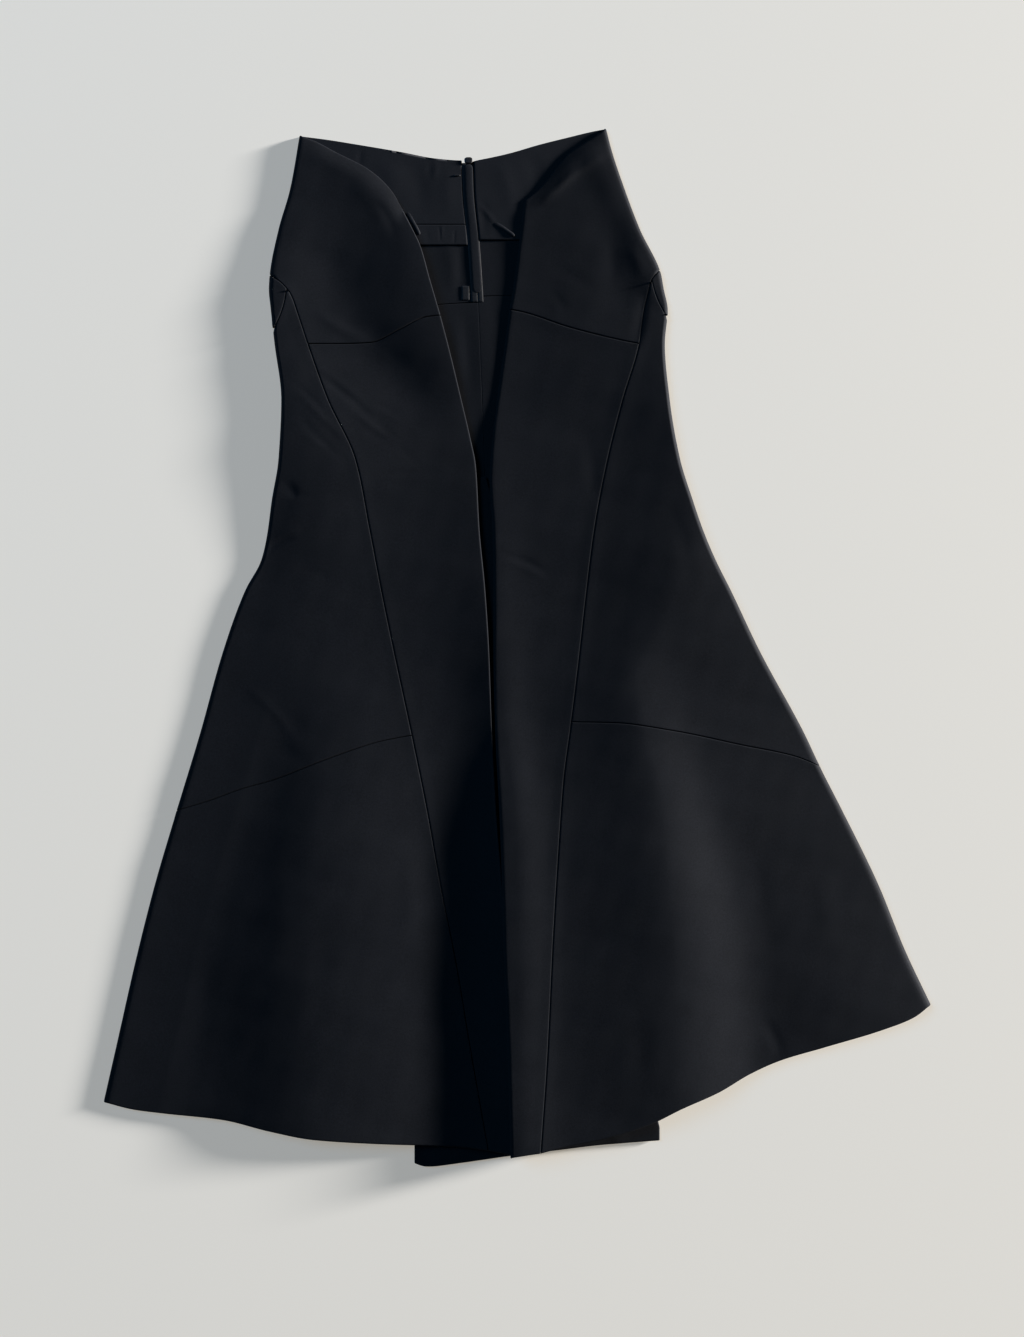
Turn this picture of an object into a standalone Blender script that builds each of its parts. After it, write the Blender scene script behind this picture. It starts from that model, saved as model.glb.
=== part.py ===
"""A black mermaid fishtail skirt lying on its back, as the pieces that are cut and sewn.

X runs across the skirt, Y from the hem to the waist, Z up from the surface that it lies on.
All sizes are in millimetres, and the meshes are made in metres. The front is the upper layer:
its halves part in a V at the waist and meet edge to edge below it. The back lies flat
beneath, and its inside shows in the V.
"""

import math

import bmesh
import bpy
import numpy as np

MM = 0.001

# ---------------------------------------------------------------- driving sizes

WALL = 1.6  # bonded crepe with its pressed seam allowances
FACING = 1.0
SEAM_GAP = 0.3
LAYER_GAP = 0.3
BACK_INSET = 5.0  # the back ends this far inside the rounded side edge of the front
BACK_HEM_LIFT = 5.0  # the hem of the back stops short of the front's
LIE = 6.2  # how high the front's upper face lies where it has no fold
# The least height of that face: rows of (level y, in the middle, at the side edge).
LEAST_TOPS = ((230, 5.6, 4.4), (275, 4.2, 4.4), (385, 4.2, 4.4), (430, 5.0, 5.0))
NEAR_SIDE = 60.0  # how far in from the side edge its own least height counts
SOFT_LIMIT = 0.5  # how softly the face stops at its least height
SIDE_ROLL_HIP = 12.0  # width of the rounding at the side edges
SIDE_ROLL_HEM = 8.0
SIDE_ROLL_LEVELS = (100.0, -400.0)  # the first width holds above these, the second below
FRONT_ROLL_LEFT, FRONT_ROLL_RIGHT = 3.0, 12.0  # and at the centre front edges
EDGE_HELD = 1.5  # the edge's lowest level holds over this many widths of its rounding
WAIST_LIP = 18.0  # width of the strip at the front's waist edge that dips inwards
WAIST_DIP = 2.4
DIP_FADE = 40.0  # the dip fades out over this distance from the side edge
DRAW_IN = 1 / 1056  # a raised fold draws the cloth in towards the middle, per mm of rise
DRAW_FROM = 3.0
MIDDLE = (-5.0, -22.0)
SLOPE_STEP = 2.0  # slopes are measured over this distance either way
ON_LINE = 0.1  # a point this near a line is on it
SAME_POINT = 1e-6

# ---------------------------------------------------------------- layers, from the floor up

BACK_TOP = WALL
INNER_LOW = BACK_TOP + LAYER_GAP
FACING_TOP = INNER_LOW + FACING
PLEAT_TOP = INNER_LOW + WALL
ON_FACING = FACING_TOP + LAYER_GAP
ON_PLEAT = PLEAT_TOP + LAYER_GAP
OVER_BACK = BACK_TOP + 2 * LAYER_GAP
# How high the centre front edges lie, from the hem up: rows of (level y, height of the edge).
EDGE_LEVELS_LEFT = (
    (-530, 18.6), (-400, 18.4), (-300, 17.0), (-223, 14.8), (-160, 12.8), (-97, 10.8), (-34, 8.6),
    (30, 7.2), (92, 6.2), (150, 5.2), (217, 5.0), (260, 6.0), (291, 7.4), (318, 8.4),
    (348, 8.8), (386, 8.6), (421, 7.8), (457, 5.0),
)
EDGE_LEVELS_RIGHT = (
    (-530, 20.6), (-400, 20.4), (-300, 19.0), (-223, 16.6), (-160, 13.8), (-97, 10.6), (-34, 8.2),
    (30, 6.6), (92, 5.8), (230, ON_PLEAT), (270, OVER_BACK), (385, OVER_BACK), (415, ON_FACING),
)

# ---------------------------------------------------------------- outlines and seams
# Lines that run from waist to hem: rows of (level y, place x).

SIDE_LEFT = (
    (536, -228), (480, -238), (438, -250), (391, -259), (375, -260), (354, -258),
    (318, -254), (260, -247), (197, -250), (155, -257), (118, -262), (92, -268),
    (60, -285), (-3, -308), (-92, -333), (-171, -357), (-249, -380), (-328, -400),
    (-412, -419), (-476, -433.5),
)
SIDE_RIGHT = (
    (543.5, 93.5), (522, 99), (480, 113), (438, 129), (391, 151), (375, 154), (354, 158),
    (318, 155), (260, 160), (197, 171), (155, 184), (123, 195), (92, 208), (60, 224),
    (-3, 254), (-92, 302), (-124, 317), (-171, 341), (-249, 379), (-318, 407),
    (-374, 433.5),
)
PRINCESS_LEFT = (
    (391, -259), (384, -249), (370, -237), (348, -229), (318, -219), (260, -198),
    (197, -169), (123, -154), (60, -142), (-3, -129), (-92, -110), (-171, -94),
    (-249, -80), (-328, -64), (-412, -50), (-527, -30),
)
PRINCESS_RIGHT = (
    (396, 149), (385, 141), (374, 138), (353, 133), (318, 128), (260, 111), (197, 95),
    (123, 81), (60, 73), (-3, 66), (-78, 57), (-139, 49), (-207, 44), (-304, 38),
    (-428, 32), (-530, 25),
)
FRONT_LEFT = (
    (457, -119), (434, -107), (421, -101), (386, -91), (348, -80), (318, -72),
    (260, -58), (217, -48), (192, -43), (123, -39), (60, -33), (-3, -29), (-92, -26),
    (-171, -22), (-249, -18), (-328, -16), (-412, -13), (-532, -9),
)
FRONT_RIGHT = (
    (467, 7), (431, 3), (406, 0), (377, -4), (354, -8), (318, -13), (260, -21),
    (197, -28), (176, -29), (123, -26), (60, -25), (-3, -25), (-92, -23), (-171, -19),
    (-249, -16), (-328, -14), (-412, -10), (-535, -7),
)
# Where the zip runs, and the centre back seam below it.
CENTRE_BACK = ((514, -51), (480, -50), (427, -45), (384, -42), (367, -41), (-100, -25), (-528, -10))

# Lines that run across, from left to right: rows of (place x, level y).

WAIST_LEFT = ((-228, 536), (-213, 531), (-190, 519), (-154, 500), (-131, 478), (-119, 457))
WAIST_RIGHT = ((7, 467), (22, 479), (55, 518), (84, 537), (93.5, 543.5))
BACK_WAIST = (
    (-228, 536), (-197, 532), (-150, 524), (-119, 518), (-87, 511), (-56, 508),
    (-40, 511), (-8, 518), (23, 527), (55, 535), (80, 541), (93.5, 543.5),
)
YOKE_LEFT = ((-219, 318), (-181, 318), (-154, 319), (-123, 333), (-96, 346), (-80, 348))
YOKE_RIGHT = ((-8, 354), (3, 352), (56, 335), (108, 322), (128, 318))
KNEE_LEFT = (
    (-357, -171), (-324, -161), (-291, -149), (-259, -140), (-202, -118), (-145, -99),
    (-110, -92),
)
KNEE_RIGHT = ((57, -78), (102, -79), (162, -87), (234, -102), (291, -114), (317, -124))
HEM_LEFT = (
    (-433.5, -476), (-402, -484), (-371, -488), (-308, -495), (-260, -507),
    (-213, -516), (-150, -520), (-64, -523), (-30, -527),
)
HEM_CENTRE_LEFT = ((-30, -527), (-9, -532))
HEM_CENTRE_RIGHT = ((-7, -535), (25, -530))
HEM_RIGHT = (
    (25, -530), (48, -524), (87, -516), (139, -500), (172, -484), (212, -466),
    (244, -447), (275, -433), (322, -419), (385, -400), (417, -387), (433.5, -374),
)
BACK_YOKE_LEFT = ((-219, 318), (-150, 342), (-90, 359), (-41, 362))
BACK_YOKE_RIGHT = ((-41, 368), (-12, 369), (60, 352), (128, 318))
BACK_HEM_LEFT = (
    (-433.5, -476), (-371, -485), (-308, -492), (-213, -512), (-80, -519), (-10, -524),
)
BACK_HEM_RIGHT = (
    (-10, -524), (48, -519), (139, -496), (212, -462), (275, -430), (385, -398),
    (433.5, -374),
)

# The hip sliver: its side seam starts on the princess seam and ends on the side edge.
HIP_START_LEFT, HIP_END_LEFT = 376.0, 332.0
HIP_START_RIGHT, HIP_END_RIGHT = 385.0, 345.0

HIP_SEAM_BOW = 2.5
HIP_TIP = 3.0  # the sliver starts this far down the side edge, which blunts its tip
HIP_INSET = 0.35  # the sliver stops this far short of its side seam, where the cloth is steep
# How its rows lie along the side seam and along the princess seam beside it. The side panel
# starts at the second of them and the sliver ends at the last but one, which blunts them too.
SEAM_SHARES = (0, 0.12, 0.4, 0.7, 0.9, 1)
HIP_SHARES = (0, 0.12, 0.34, 0.56, 0.78, 1)

# The centre pleat's underlay, from its tip under the front down to its hem, and up again.
PLEAT_LEFT = ((-38, 178), (-107, -522), (-107, -540))
PLEAT_HEM = (
    (-107, -540), (-96, -543.5), (-54, -539), (-13, -533), (45, -526), (86, -521),
    (149, -516),
)
PLEAT_RIGHT = ((149, -516), (149, -502), (-32, 178))

# Facings of the back's waist: their lower edges, and how far inside the outline they lie.
FACING_LOW_LEFT = ((-243, 470), (-190, 455), (-106, 443), (-55, 443))
FACING_LOW_RIGHT = ((-40, 427), (0, 427), (60, 438), (122, 458))
FACING_INSET = 9.0
FACING_STEP = 0.6
BAND_LEFT, BAND_LOW = -113.0, 421.6

# The zip: its tapes lie beside the centre back line, and the covered coil lies on them.
ZIP_TOP, ZIP_FOOT = 506.0, 372.0
TAPE_LEFT, TAPE_RIGHT = 7.0, 5.5
TAPE_FOOT = 362.0
COIL_HALF, COIL_HEIGHT = 4.3, 1.7
SLIDER_HALF, SLIDER_HEIGHT, SLIDER_TOP = 4.6, 3.0, 513.0
STAY = (-58.0, 364.0, -49.9, 379.0)  # left, bottom, right, top of the patch at the zip's foot
HOOK = (-66.0, -59.5, 494.0)  # left, right and level of the bar
HOOK_HALF, HOOK_HEIGHT = 0.9, 1.3

# The ends of the front's own facing that curl out at the top of the V.
CURL_LEFT = ((-114.5, 455), (-110, 447), (-106, 440), (-102, 432))
CURL_RIGHT = ((-23, 444), (-16, 440), (-9, 435), (-2.5, 430.5))
CURL_HALF, CURL_HEIGHT = 2.0, 3.2

# ---------------------------------------------------------------- folds of the front
# Folds: how flat the top is (2 is round, 4 is flat), then rows from the waist to the hem.
# Columns: level y, place x of the crest, rise (below 0 in a valley), width on its left and right.

FOLDS_LEFT = (
    # side edge, thin below the hip
    (2, ((200, -250, 0, 30, 30), (118, -262, -0.8, 30, 30), (-3, -308, -1.6, 50, 50),
         (-171, -357, -2.3, 80, 80), (-476, -434, -2.5, 90, 90))),
    # hip, and on to the crown of the thigh
    (2, (
        (470, -240, 0, 30, 30), (430, -246, 1.6, 34, 34), (380, -256, 3.4, 44, 46),
        (330, -252, 3.8, 50, 56), (280, -240, 4.2, 60, 70), (240, -226, 4.6, 80, 88),
        (195, -215, 4.0, 90, 95), (150, -205, 2.2, 80, 80), (105, -200, 0.8, 60, 60),
        (40, -196, 0, 60, 60),
    )),
    # raised edge of the V
    (2, (
        (530, -190, 0.5, 20, 40), (516, -186, 0.8, 24, 40), (490, -150, 1.6, 40, 40),
        (458, -120, 2.8, 46, 40), (421, -106, 3.8, 50, 40), (386, -95, 4.6, 66, 40),
        (348, -84, 4.8, 76, 40), (318, -75, 4.4, 68, 40), (291, -68, 3.4, 48, 40),
        (260, -62, 1.6, 36, 40), (217, -52, 0.3, 32, 40), (190, -46, 0, 30, 40),
    )),
    # valley across the yoke and on below its seam
    (2, (
        (430, -210, 0, 24, 24), (400, -196, -0.7, 26, 26), (330, -160, -1.1, 28, 28),
        (291, -135, -1.1, 28, 28), (250, -110, -0.8, 28, 28), (210, -90, 0, 28, 28),
    )),
    # strip that rises to the centre front edge
    (2.4, (
        (230, -50, 0, 40, 60), (170, -43, 1.8, 45, 60), (92, -34, 3.0, 60, 60),
        (30, -24, 3.8, 62, 60), (-34, -17, 5.0, 68, 60), (-97, -11, 6.6, 74, 60),
        (-160, -9, 8.0, 72, 60), (-223, -9, 9.4, 58, 60), (-286, -6, 10.6, 40, 60),
        (-412, -2, 12.0, 30, 60), (-530, -2, 12.0, 28, 60),
    )),
    # trough before it
    (3, (
        (-60, -54, 0, 38, 22), (-160, -54, -1.2, 38, 22), (-223, -54, -2.2, 38, 22),
        (-286, -54, -3.0, 40, 22),
        (-412, -52, -3.4, 42, 22), (-530, -52, -3.4, 42, 22),
    )),
    # broad fold of the flare
    (2.2, (
        (10, -190, 0, 50, 70), (-34, -192, 0.6, 50, 70), (-97, -196, 2.4, 52, 72),
        (-160, -198, 4.8, 56, 82), (-223, -200, 6.6, 70, 100), (-286, -200, 8.0, 84, 122),
        (-412, -202, 9.0, 90, 136), (-530, -204, 9.2, 92, 138),
    )),
)
FOLDS_RIGHT = (
    # side edge from waist to hip
    (2, ((530, 88, 0, 20, 20), (505, 92, 1.4, 20, 20), (400, 138, 1.6, 24, 24),
         (350, 150, 0.8, 28, 28), (310, 152, 0, 28, 28))),
    # roll behind the waist lip
    (2, ((545, 100, 0, 30, 30), (530, 86, 1.0, 30, 30), (478, 24, 1.4, 22, 22),
         (462, 12, 0, 20, 20))),
    # hollow before the hip
    (2, ((490, 98, 0, 20, 20), (462, 103, -0.5, 20, 20), (370, 108, -0.5, 20, 20),
         (330, 108, 0, 20, 20))),
    # the half that lies lowest along the V
    (2, ((536, 70, 0, 50, 50), (480, 22, -1.0, 50, 50), (431, 3, -1.8, 56, 56),
         (360, -7, -2.6, 60, 60), (260, -21, -2.6, 60, 56), (190, -29, -1.4, 60, 50),
         (110, -27, 0, 60, 40))),
    # rise of the side panel, and on as the round fold of the flare
    (1.6, (
        (355, 164, 0, 60, 60), (318, 168, 2.2, 62, 60), (260, 174, 4.6, 68, 60),
        (200, 184, 6.4, 84, 80), (150, 188, 7.2, 96, 90), (92, 180, 7.6, 108, 120),
        (29, 152, 7.2, 84, 160), (-34, 126, 6.8, 60, 180), (-97, 136, 7.0, 66, 140),
        (-160, 152, 7.2, 80, 100), (-223, 158, 6.8, 88, 90), (-286, 163, 6.0, 92, 88),
        (-350, 168, 4.8, 94, 88), (-412, 168, 3.4, 94, 88), (-530, 168, 2.8, 94, 88),
    )),
    # edge of the centre panel
    (2, (
        (230, -26, 0, 60, 24), (170, -26, 0.8, 60, 24), (92, -24, 1.1, 60, 24),
        (30, -22, 1.4, 60, 24), (-34, -18, 1.8, 60, 24), (-97, -12, 2.4, 60, 24),
        (-160, -4, 3.0, 60, 26), (-223, 0, 3.2, 60, 28), (-286, 2, 3.0, 60, 28),
        (-412, 2, 2.8, 60, 30), (-530, 2, 2.8, 60, 32),
    )),
    # raised middle of the flare
    (6, (
        (40, 60, 0, 200, 84), (-20, 60, 1.0, 200, 92), (-97, 60, 3.4, 200, 108),
        (-160, 66, 6.2, 200, 117), (-223, 70, 9.0, 200, 129), (-286, 72, 11.0, 200, 142),
        (-350, 72, 12.4, 200, 150), (-412, 72, 13.0, 200, 153), (-530, 72, 13.2, 200, 154),
    )),
    # side edge of the flare
    (2, ((-60, 262, 0, 60, 60), (-100, 275, 0.8, 80, 80), (-160, 295, 2.0, 90, 100),
         (-223, 315, 3.4, 100, 110), (-286, 330, 4.6, 110, 120), (-350, 345, 5.2, 120, 130),
         (-420, 350, 5.2, 125, 140))),
)

# ---------------------------------------------------------------- mesh fineness

ROWS_YOKE = 4
ROWS_THIGH = 9
ROWS_FLARE = 10
COLUMNS_CENTRE = 6  # the yoke and the centre panel share a seam, so they have as many columns
COLUMNS_SIDE = 20  # and so do the side panel and the flare
ROLL_ANGLES = (20, 45, 70, 90)
# The most that rounded ends take of a row: each of two, or the only one.
BOTH_ROLLS, ONE_ROLL = 0.4, 0.85
LINE_STEP = 4.0  # spacing of the points that seams are read from
BACK_STEP = 30.0
NEAR_END = 0.5  # points nearer than this to the end of a cut line are left out

COLOURS = {
    "crepe": (0.016, 0.017, 0.02),
    "facing": (0.017, 0.018, 0.021),
    "zip": (0.017, 0.018, 0.02),
    "metal": (0.03, 0.03, 0.032),
}
ROUGHNESS = {"crepe": 0.85, "facing": 0.8, "zip": 0.6, "metal": 0.35}


# ---------------------------------------------------------------- lines in plan


def smooth(rows):
    """A smooth curve through a table's rows that never swings past them."""
    keys, values = np.array(rows, float).T
    if keys[0] > keys[-1]:
        keys, values = keys[::-1], values[::-1]
    step = np.diff(keys)
    rate = np.diff(values) / step
    slope = np.zeros(len(keys))
    slope[0], slope[-1] = rate[0], rate[-1]
    same = rate[:-1] * rate[1:] > 0
    before, after = 2 * step[1:] + step[:-1], step[1:] + 2 * step[:-1]
    steady = np.where(same, rate[:-1], 1), np.where(same, rate[1:], 1)
    mean = (before + after) / (before / steady[0] + after / steady[1])
    slope[1:-1] = np.where(same, mean, 0)

    def value(at):
        at = np.clip(at, keys[0], keys[-1])
        i = np.clip(np.searchsorted(keys, at) - 1, 0, len(step) - 1)
        t = (at - keys[i]) / step[i]
        rise = (1 + 2 * t) * (1 - t) ** 2 * values[i] + t * t * (3 - 2 * t) * values[i + 1]
        return rise + step[i] * t * (1 - t) * ((1 - t) * slope[i] - t * slope[i + 1])

    return value


def down_line(rows, top=None, bottom=None):
    """Points along a waist-to-hem line, from level top down to level bottom."""
    top = rows[0][0] if top is None else top
    bottom = rows[-1][0] if bottom is None else bottom
    y = np.linspace(top, bottom, 2 + int((top - bottom) / LINE_STEP))
    return np.stack([smooth(rows)(y), y], axis=1)


def cross_line(rows):
    """Points along a line that runs from left to right."""
    x = np.linspace(rows[0][0], rows[-1][0], 2 + int((rows[-1][0] - rows[0][0]) / LINE_STEP))
    return np.stack([x, smooth(rows)(x)], axis=1)


def along(line):
    """How far along the line each of its points is, from 0 to 1."""
    length = np.concatenate([[0], np.cumsum(np.linalg.norm(np.diff(line, axis=0), axis=1))])
    return length / length[-1]


def at_share(line, share):
    where = along(line)
    return np.stack([np.interp(share, where, line[:, k]) for k in range(2)], axis=-1)


def stations(line, rows):
    return at_share(line, np.linspace(0, 1, rows + 1))


def joined(*lines):
    """Lines end to end, each shared end kept once."""
    return np.concatenate([lines[0]] + [line[1:] for line in lines[1:]])


def length_of(line):
    return float(np.linalg.norm(np.diff(line, axis=0), axis=1).sum())


def to_line(points, line):
    """Distance from each point to a line, more than 0 on the line's left, and its direction."""
    best = np.full(points.shape[:-1], np.inf)
    heading = np.zeros(points.shape)
    for start, step in zip(line[:-1], np.diff(line, axis=0)):
        off = points - start
        t = np.clip((off @ step) / (step @ step), 0, 1)
        far = np.linalg.norm(off - t[..., None] * step, axis=-1)
        far *= np.where(step[0] * off[..., 1] < step[1] * off[..., 0], -1, 1)
        nearer = abs(far) < abs(best)
        best = np.where(nearer, far, best)
        heading[nearer] = step / np.linalg.norm(step)
    return best, heading


def pulled_in(sides, insets):
    """The sides of a closed outline, moved inwards; an outline runs anticlockwise."""
    moved = []
    for side, inset in zip(sides, insets):
        heading = np.diff(side, axis=0)
        heading /= np.linalg.norm(heading, axis=1)[:, None]
        inward = np.stack([-heading[:, 1], heading[:, 0]], axis=1)
        at_point = np.concatenate([inward[:1], inward[:-1] + inward[1:], inward[-1:]])
        at_point /= np.linalg.norm(at_point, axis=1)[:, None]
        moved.append(side + np.broadcast_to(inset, len(side))[:, None] * at_point)
    for i, side in enumerate(moved):
        other = moved[(i + 1) % len(moved)]
        if np.linalg.norm(side[-1] - other[0]) > SAME_POINT:
            side[-1] = crossing(side[-2], side[-1], other[0], other[1])
        other[0] = side[-1]
    return moved


def crossing(a, b, c, d):
    """Where the line through a and b meets the line through c and d."""
    first, second = b - a, d - c
    turn = first[0] * second[1] - first[1] * second[0]
    t = ((c - a)[0] * second[1] - (c - a)[1] * second[0]) / turn
    return a + t * first


# ---------------------------------------------------------------- the way the front lies


def rounding(distance, width):
    """A quarter of an ellipse: 0 at the edge, 1 from width inwards."""
    return np.sqrt(1 - (1 - np.clip(distance / width, 0, 1)) ** 2)


def fold_rise(points, fold):
    """The rise of a fold that runs down the skirt, as its table's rows say."""
    flat, rows = fold
    x, rise, left, right = (
        smooth([(row[0], row[column]) for row in rows])(points[..., 1]) for column in range(1, 5)
    )
    away = points[..., 0] - x
    return rise * np.exp(-(abs(away / np.where(away < 0, left, right)) ** flat))


def at_least(height, least):
    """The height, held softly above its least value."""
    return least + SOFT_LIMIT * np.logaddexp(0, (height - least) / SOFT_LIMIT)


class Front:
    """One half of the front: its lines, and how high it lies at each point."""

    def __init__(self, side, front, waist, folds, levels, roll, outward):
        self.side = down_line(side)
        self.front = down_line(front)
        self.waist = cross_line(waist)
        self.folds = folds
        self.levels = levels
        self.roll = roll  # width of the rounding at the centre front edge
        self.outward = outward  # -1 where the side edge faces left, 1 where it faces right

    def from_side(self, points):
        return to_line(points, self.side)[0] * -self.outward

    def from_front(self, points):
        return to_line(points, self.front)[0] * self.outward

    def height(self, points):
        y = points[..., 1]
        top = LIE + sum(fold_rise(points, fold) for fold in self.folds)
        from_side, from_front = self.from_side(points), self.from_front(points)
        from_waist = abs(to_line(points, self.waist)[0])
        dip = WAIST_DIP * (1 - np.clip(from_waist / WAIST_LIP, 0, 1)) ** 2
        levels, middle, side = np.transpose(LEAST_TOPS)
        share = np.clip(from_side / NEAR_SIDE, 0, 1) ** 2
        least = share * np.interp(y, levels, middle) + (1 - share) * np.interp(y, levels, side)
        top = at_least(top - dip * np.clip(from_side / DIP_FADE, 0, 1), least)
        roll = np.interp(y, SIDE_ROLL_LEVELS[::-1], [SIDE_ROLL_HEM, SIDE_ROLL_HIP])
        top = top * rounding(from_side, roll)
        low = self.edge_low(y)
        at_edge = low + (top - low) * rounding(from_front, self.roll)
        return np.where(from_front < self.roll, np.maximum(at_edge, low), top)

    def edge_low(self, y):
        """The lowest level of the centre front edge, over facing, back or pleat."""
        return np.interp(y, *np.transpose(self.levels))

    def least_inner(self, points):
        """The lowest level that the cloth's inner face may reach."""
        near = self.from_front(points) < EDGE_HELD * self.roll
        return np.where(near, self.edge_low(points[..., 1]), 0)

    def facing_out(self, points):
        """Unit vectors that point out of the cloth's upper face."""
        dx, dy = np.array([SLOPE_STEP, 0]), np.array([0, SLOPE_STEP])
        across = self.height(points + dx) - self.height(points - dx)
        down = self.height(points + dy) - self.height(points - dy)
        up = np.full(across.shape, 2 * SLOPE_STEP)
        out = np.stack([-across, -down, up], axis=-1)
        for line, way in ((self.side, self.outward), (self.front, -self.outward)):
            far, heading = to_line(points, line)
            level = np.stack([-heading[..., 1], heading[..., 0], 0 * far], axis=-1)
            level *= np.sign(level[..., :1] * way)
            out = np.where((abs(far) < ON_LINE)[..., None], level, out)
        return out / np.linalg.norm(out, axis=-1)[..., None]


def drawn_in(points, height):
    keep = 1 - np.clip(height - DRAW_FROM, 0, None) * DRAW_IN
    return np.array(MIDDLE) + (points - MIDDLE) * keep[..., None]


# ---------------------------------------------------------------- making meshes


def material(name):
    made = bpy.data.materials.new(name)
    made.use_nodes = True
    shader = made.node_tree.nodes["Principled BSDF"]
    kind = name.split("-")[0]
    shader.inputs["Base Color"].default_value = (*COLOURS[kind], 1)
    shader.inputs["Roughness"].default_value = ROUGHNESS[kind]
    shader.inputs["Metallic"].default_value = 0.6 if kind == "metal" else 0.0
    return made


def finish(name, mesh, kind, smooth_angle=35):
    """Makes the object of a closed mesh whose points are in millimetres."""
    bmesh.ops.scale(mesh, vec=(MM, MM, MM), verts=mesh.verts)
    bmesh.ops.recalc_face_normals(mesh, faces=mesh.faces)
    if mesh.calc_volume(signed=True) < 0:
        bmesh.ops.reverse_faces(mesh, faces=mesh.faces)
    data = bpy.data.meshes.new(name)
    mesh.to_mesh(data)
    mesh.free()
    data.shade_smooth()
    data.set_sharp_from_angle(angle=math.radians(smooth_angle))
    data.materials.append(material(f"{kind}-{name}"))
    made = bpy.data.objects.new(name, data)
    bpy.context.collection.objects.link(made)
    return made


def spread(width, rolls, columns):
    """Shares of a row's width, set close together where the row's ends are rounded."""
    most = width * (BOTH_ROLLS if all(rolls) else ONE_ROLL)
    near = [
        [min(roll, most) * (1 - math.cos(math.radians(a))) for a in ROLL_ANGLES]
        if roll
        else []
        for roll in rolls
    ]
    start = near[0][-1] if near[0] else 0
    end = width - (near[1][-1] if near[1] else 0)
    middle = np.linspace(start, end, columns + 1)
    left = [0, *near[0][:-1]] if near[0] else []
    right = [width - d for d in [0, *near[1][:-1]]][::-1] if near[1] else []
    return np.array([*left, *middle, *right]) / width


def plan_grid(left, right, top, bottom, rolls, columns, insets):
    """Points of a four-sided panel: rows from its top line to its bottom line."""
    top = at_share(top, spread(length_of(top), rolls, columns))
    bottom = at_share(bottom, spread(length_of(bottom), rolls, columns))
    sides = pulled_in([left, bottom, right[::-1], top[::-1]], insets)
    left, bottom, right, top = sides[0], sides[1], sides[2][::-1], sides[3][::-1]
    down_left, down_right = along(left), along(right)
    grid = np.zeros((len(left), len(top), 2))
    for i in range(len(left)):
        s = spread(float(np.linalg.norm(right[i] - left[i])), rolls, columns)
        if i == 0:
            s = along(top)
        elif i == len(left) - 1:
            s = along(bottom)
        t = (down_left[i] * (1 - s) + down_right[i] * s)[:, None]
        s = s[:, None]
        ends = (1 - s) * left[i] + s * right[i]
        across = (1 - t) * at_share(top, s[:, 0]) + t * at_share(bottom, s[:, 0])
        upper = (1 - s) * top[0] + s * top[-1]
        lower = (1 - s) * bottom[0] + s * bottom[-1]
        grid[i] = ends + across - (1 - t) * upper - t * lower
    return grid


def skin(name, outer, inner, kind):
    """A closed wall between two grids of points."""
    rows, columns = outer.shape[:2]
    mesh = bmesh.new()
    upper = [[mesh.verts.new(p) for p in row] for row in outer]
    lower = [[mesh.verts.new(p) for p in row] for row in inner]
    for i in range(rows - 1):
        for j in range(columns - 1):
            for grid, order in ((upper, 1), (lower, -1)):
                a, b = grid[i][j], grid[i + 1][j]
                c, d = grid[i + 1][j + 1], grid[i][j + 1]
                mesh.faces.new((a, b, c)[::order])
                mesh.faces.new((a, c, d)[::order])
    ring = [(i, 0) for i in range(rows)] + [(rows - 1, j) for j in range(1, columns)]
    ring += [(i, columns - 1) for i in range(rows - 2, -1, -1)]
    ring += [(0, j) for j in range(columns - 2, 0, -1)]
    for (i, j), (k, m) in zip(ring, ring[1:] + ring[:1]):
        mesh.faces.new((upper[i][j], lower[i][j], lower[k][m]))
        mesh.faces.new((upper[i][j], lower[k][m], upper[k][m]))
    return finish(name, mesh, kind)


def flat_piece(name, sides, insets, low, high, kind):
    """A flat piece of cloth with the given outline, between two levels."""
    outline = np.concatenate([side[:-1] for side in pulled_in(sides, insets)])
    mesh = bmesh.new()
    face = mesh.faces.new([mesh.verts.new((x, y, low)) for x, y in outline])
    raised = bmesh.ops.extrude_face_region(mesh, geom=[face])["geom"]
    tops = [v for v in raised if isinstance(v, bmesh.types.BMVert)]
    bmesh.ops.translate(mesh, verts=tops, vec=(0, 0, high - low))
    bmesh.ops.triangulate(mesh, faces=mesh.faces)
    return finish(name, mesh, kind)


def round_strip(name, path, half_width, low, high, kind, arc_steps=6):
    """A strip with a flat underside and a rounded top that follows a path."""
    path = np.array(path, float)
    heading = np.gradient(path, axis=0)
    heading /= np.linalg.norm(heading, axis=1)[:, None]
    across = np.stack([heading[:, 1], -heading[:, 0]], axis=1)
    mesh = bmesh.new()
    rings = []
    for point, side in zip(path, across):
        ring = []
        for k in range(arc_steps + 1):
            angle = math.pi * k / arc_steps
            x, y = point + side * half_width * math.cos(angle)
            ring.append(mesh.verts.new((x, y, low + (high - low) * math.sin(angle))))
        rings.append(ring)
    for one, two in zip(rings, rings[1:]):
        for k in range(arc_steps + 1):
            m = (k + 1) % (arc_steps + 1)
            mesh.faces.new((one[k], one[m], two[m], two[k]))
    mesh.faces.new(rings[0])
    mesh.faces.new(rings[-1])
    bmesh.ops.triangulate(mesh, faces=mesh.faces)
    return finish(name, mesh, kind)


# ---------------------------------------------------------------- front


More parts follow.
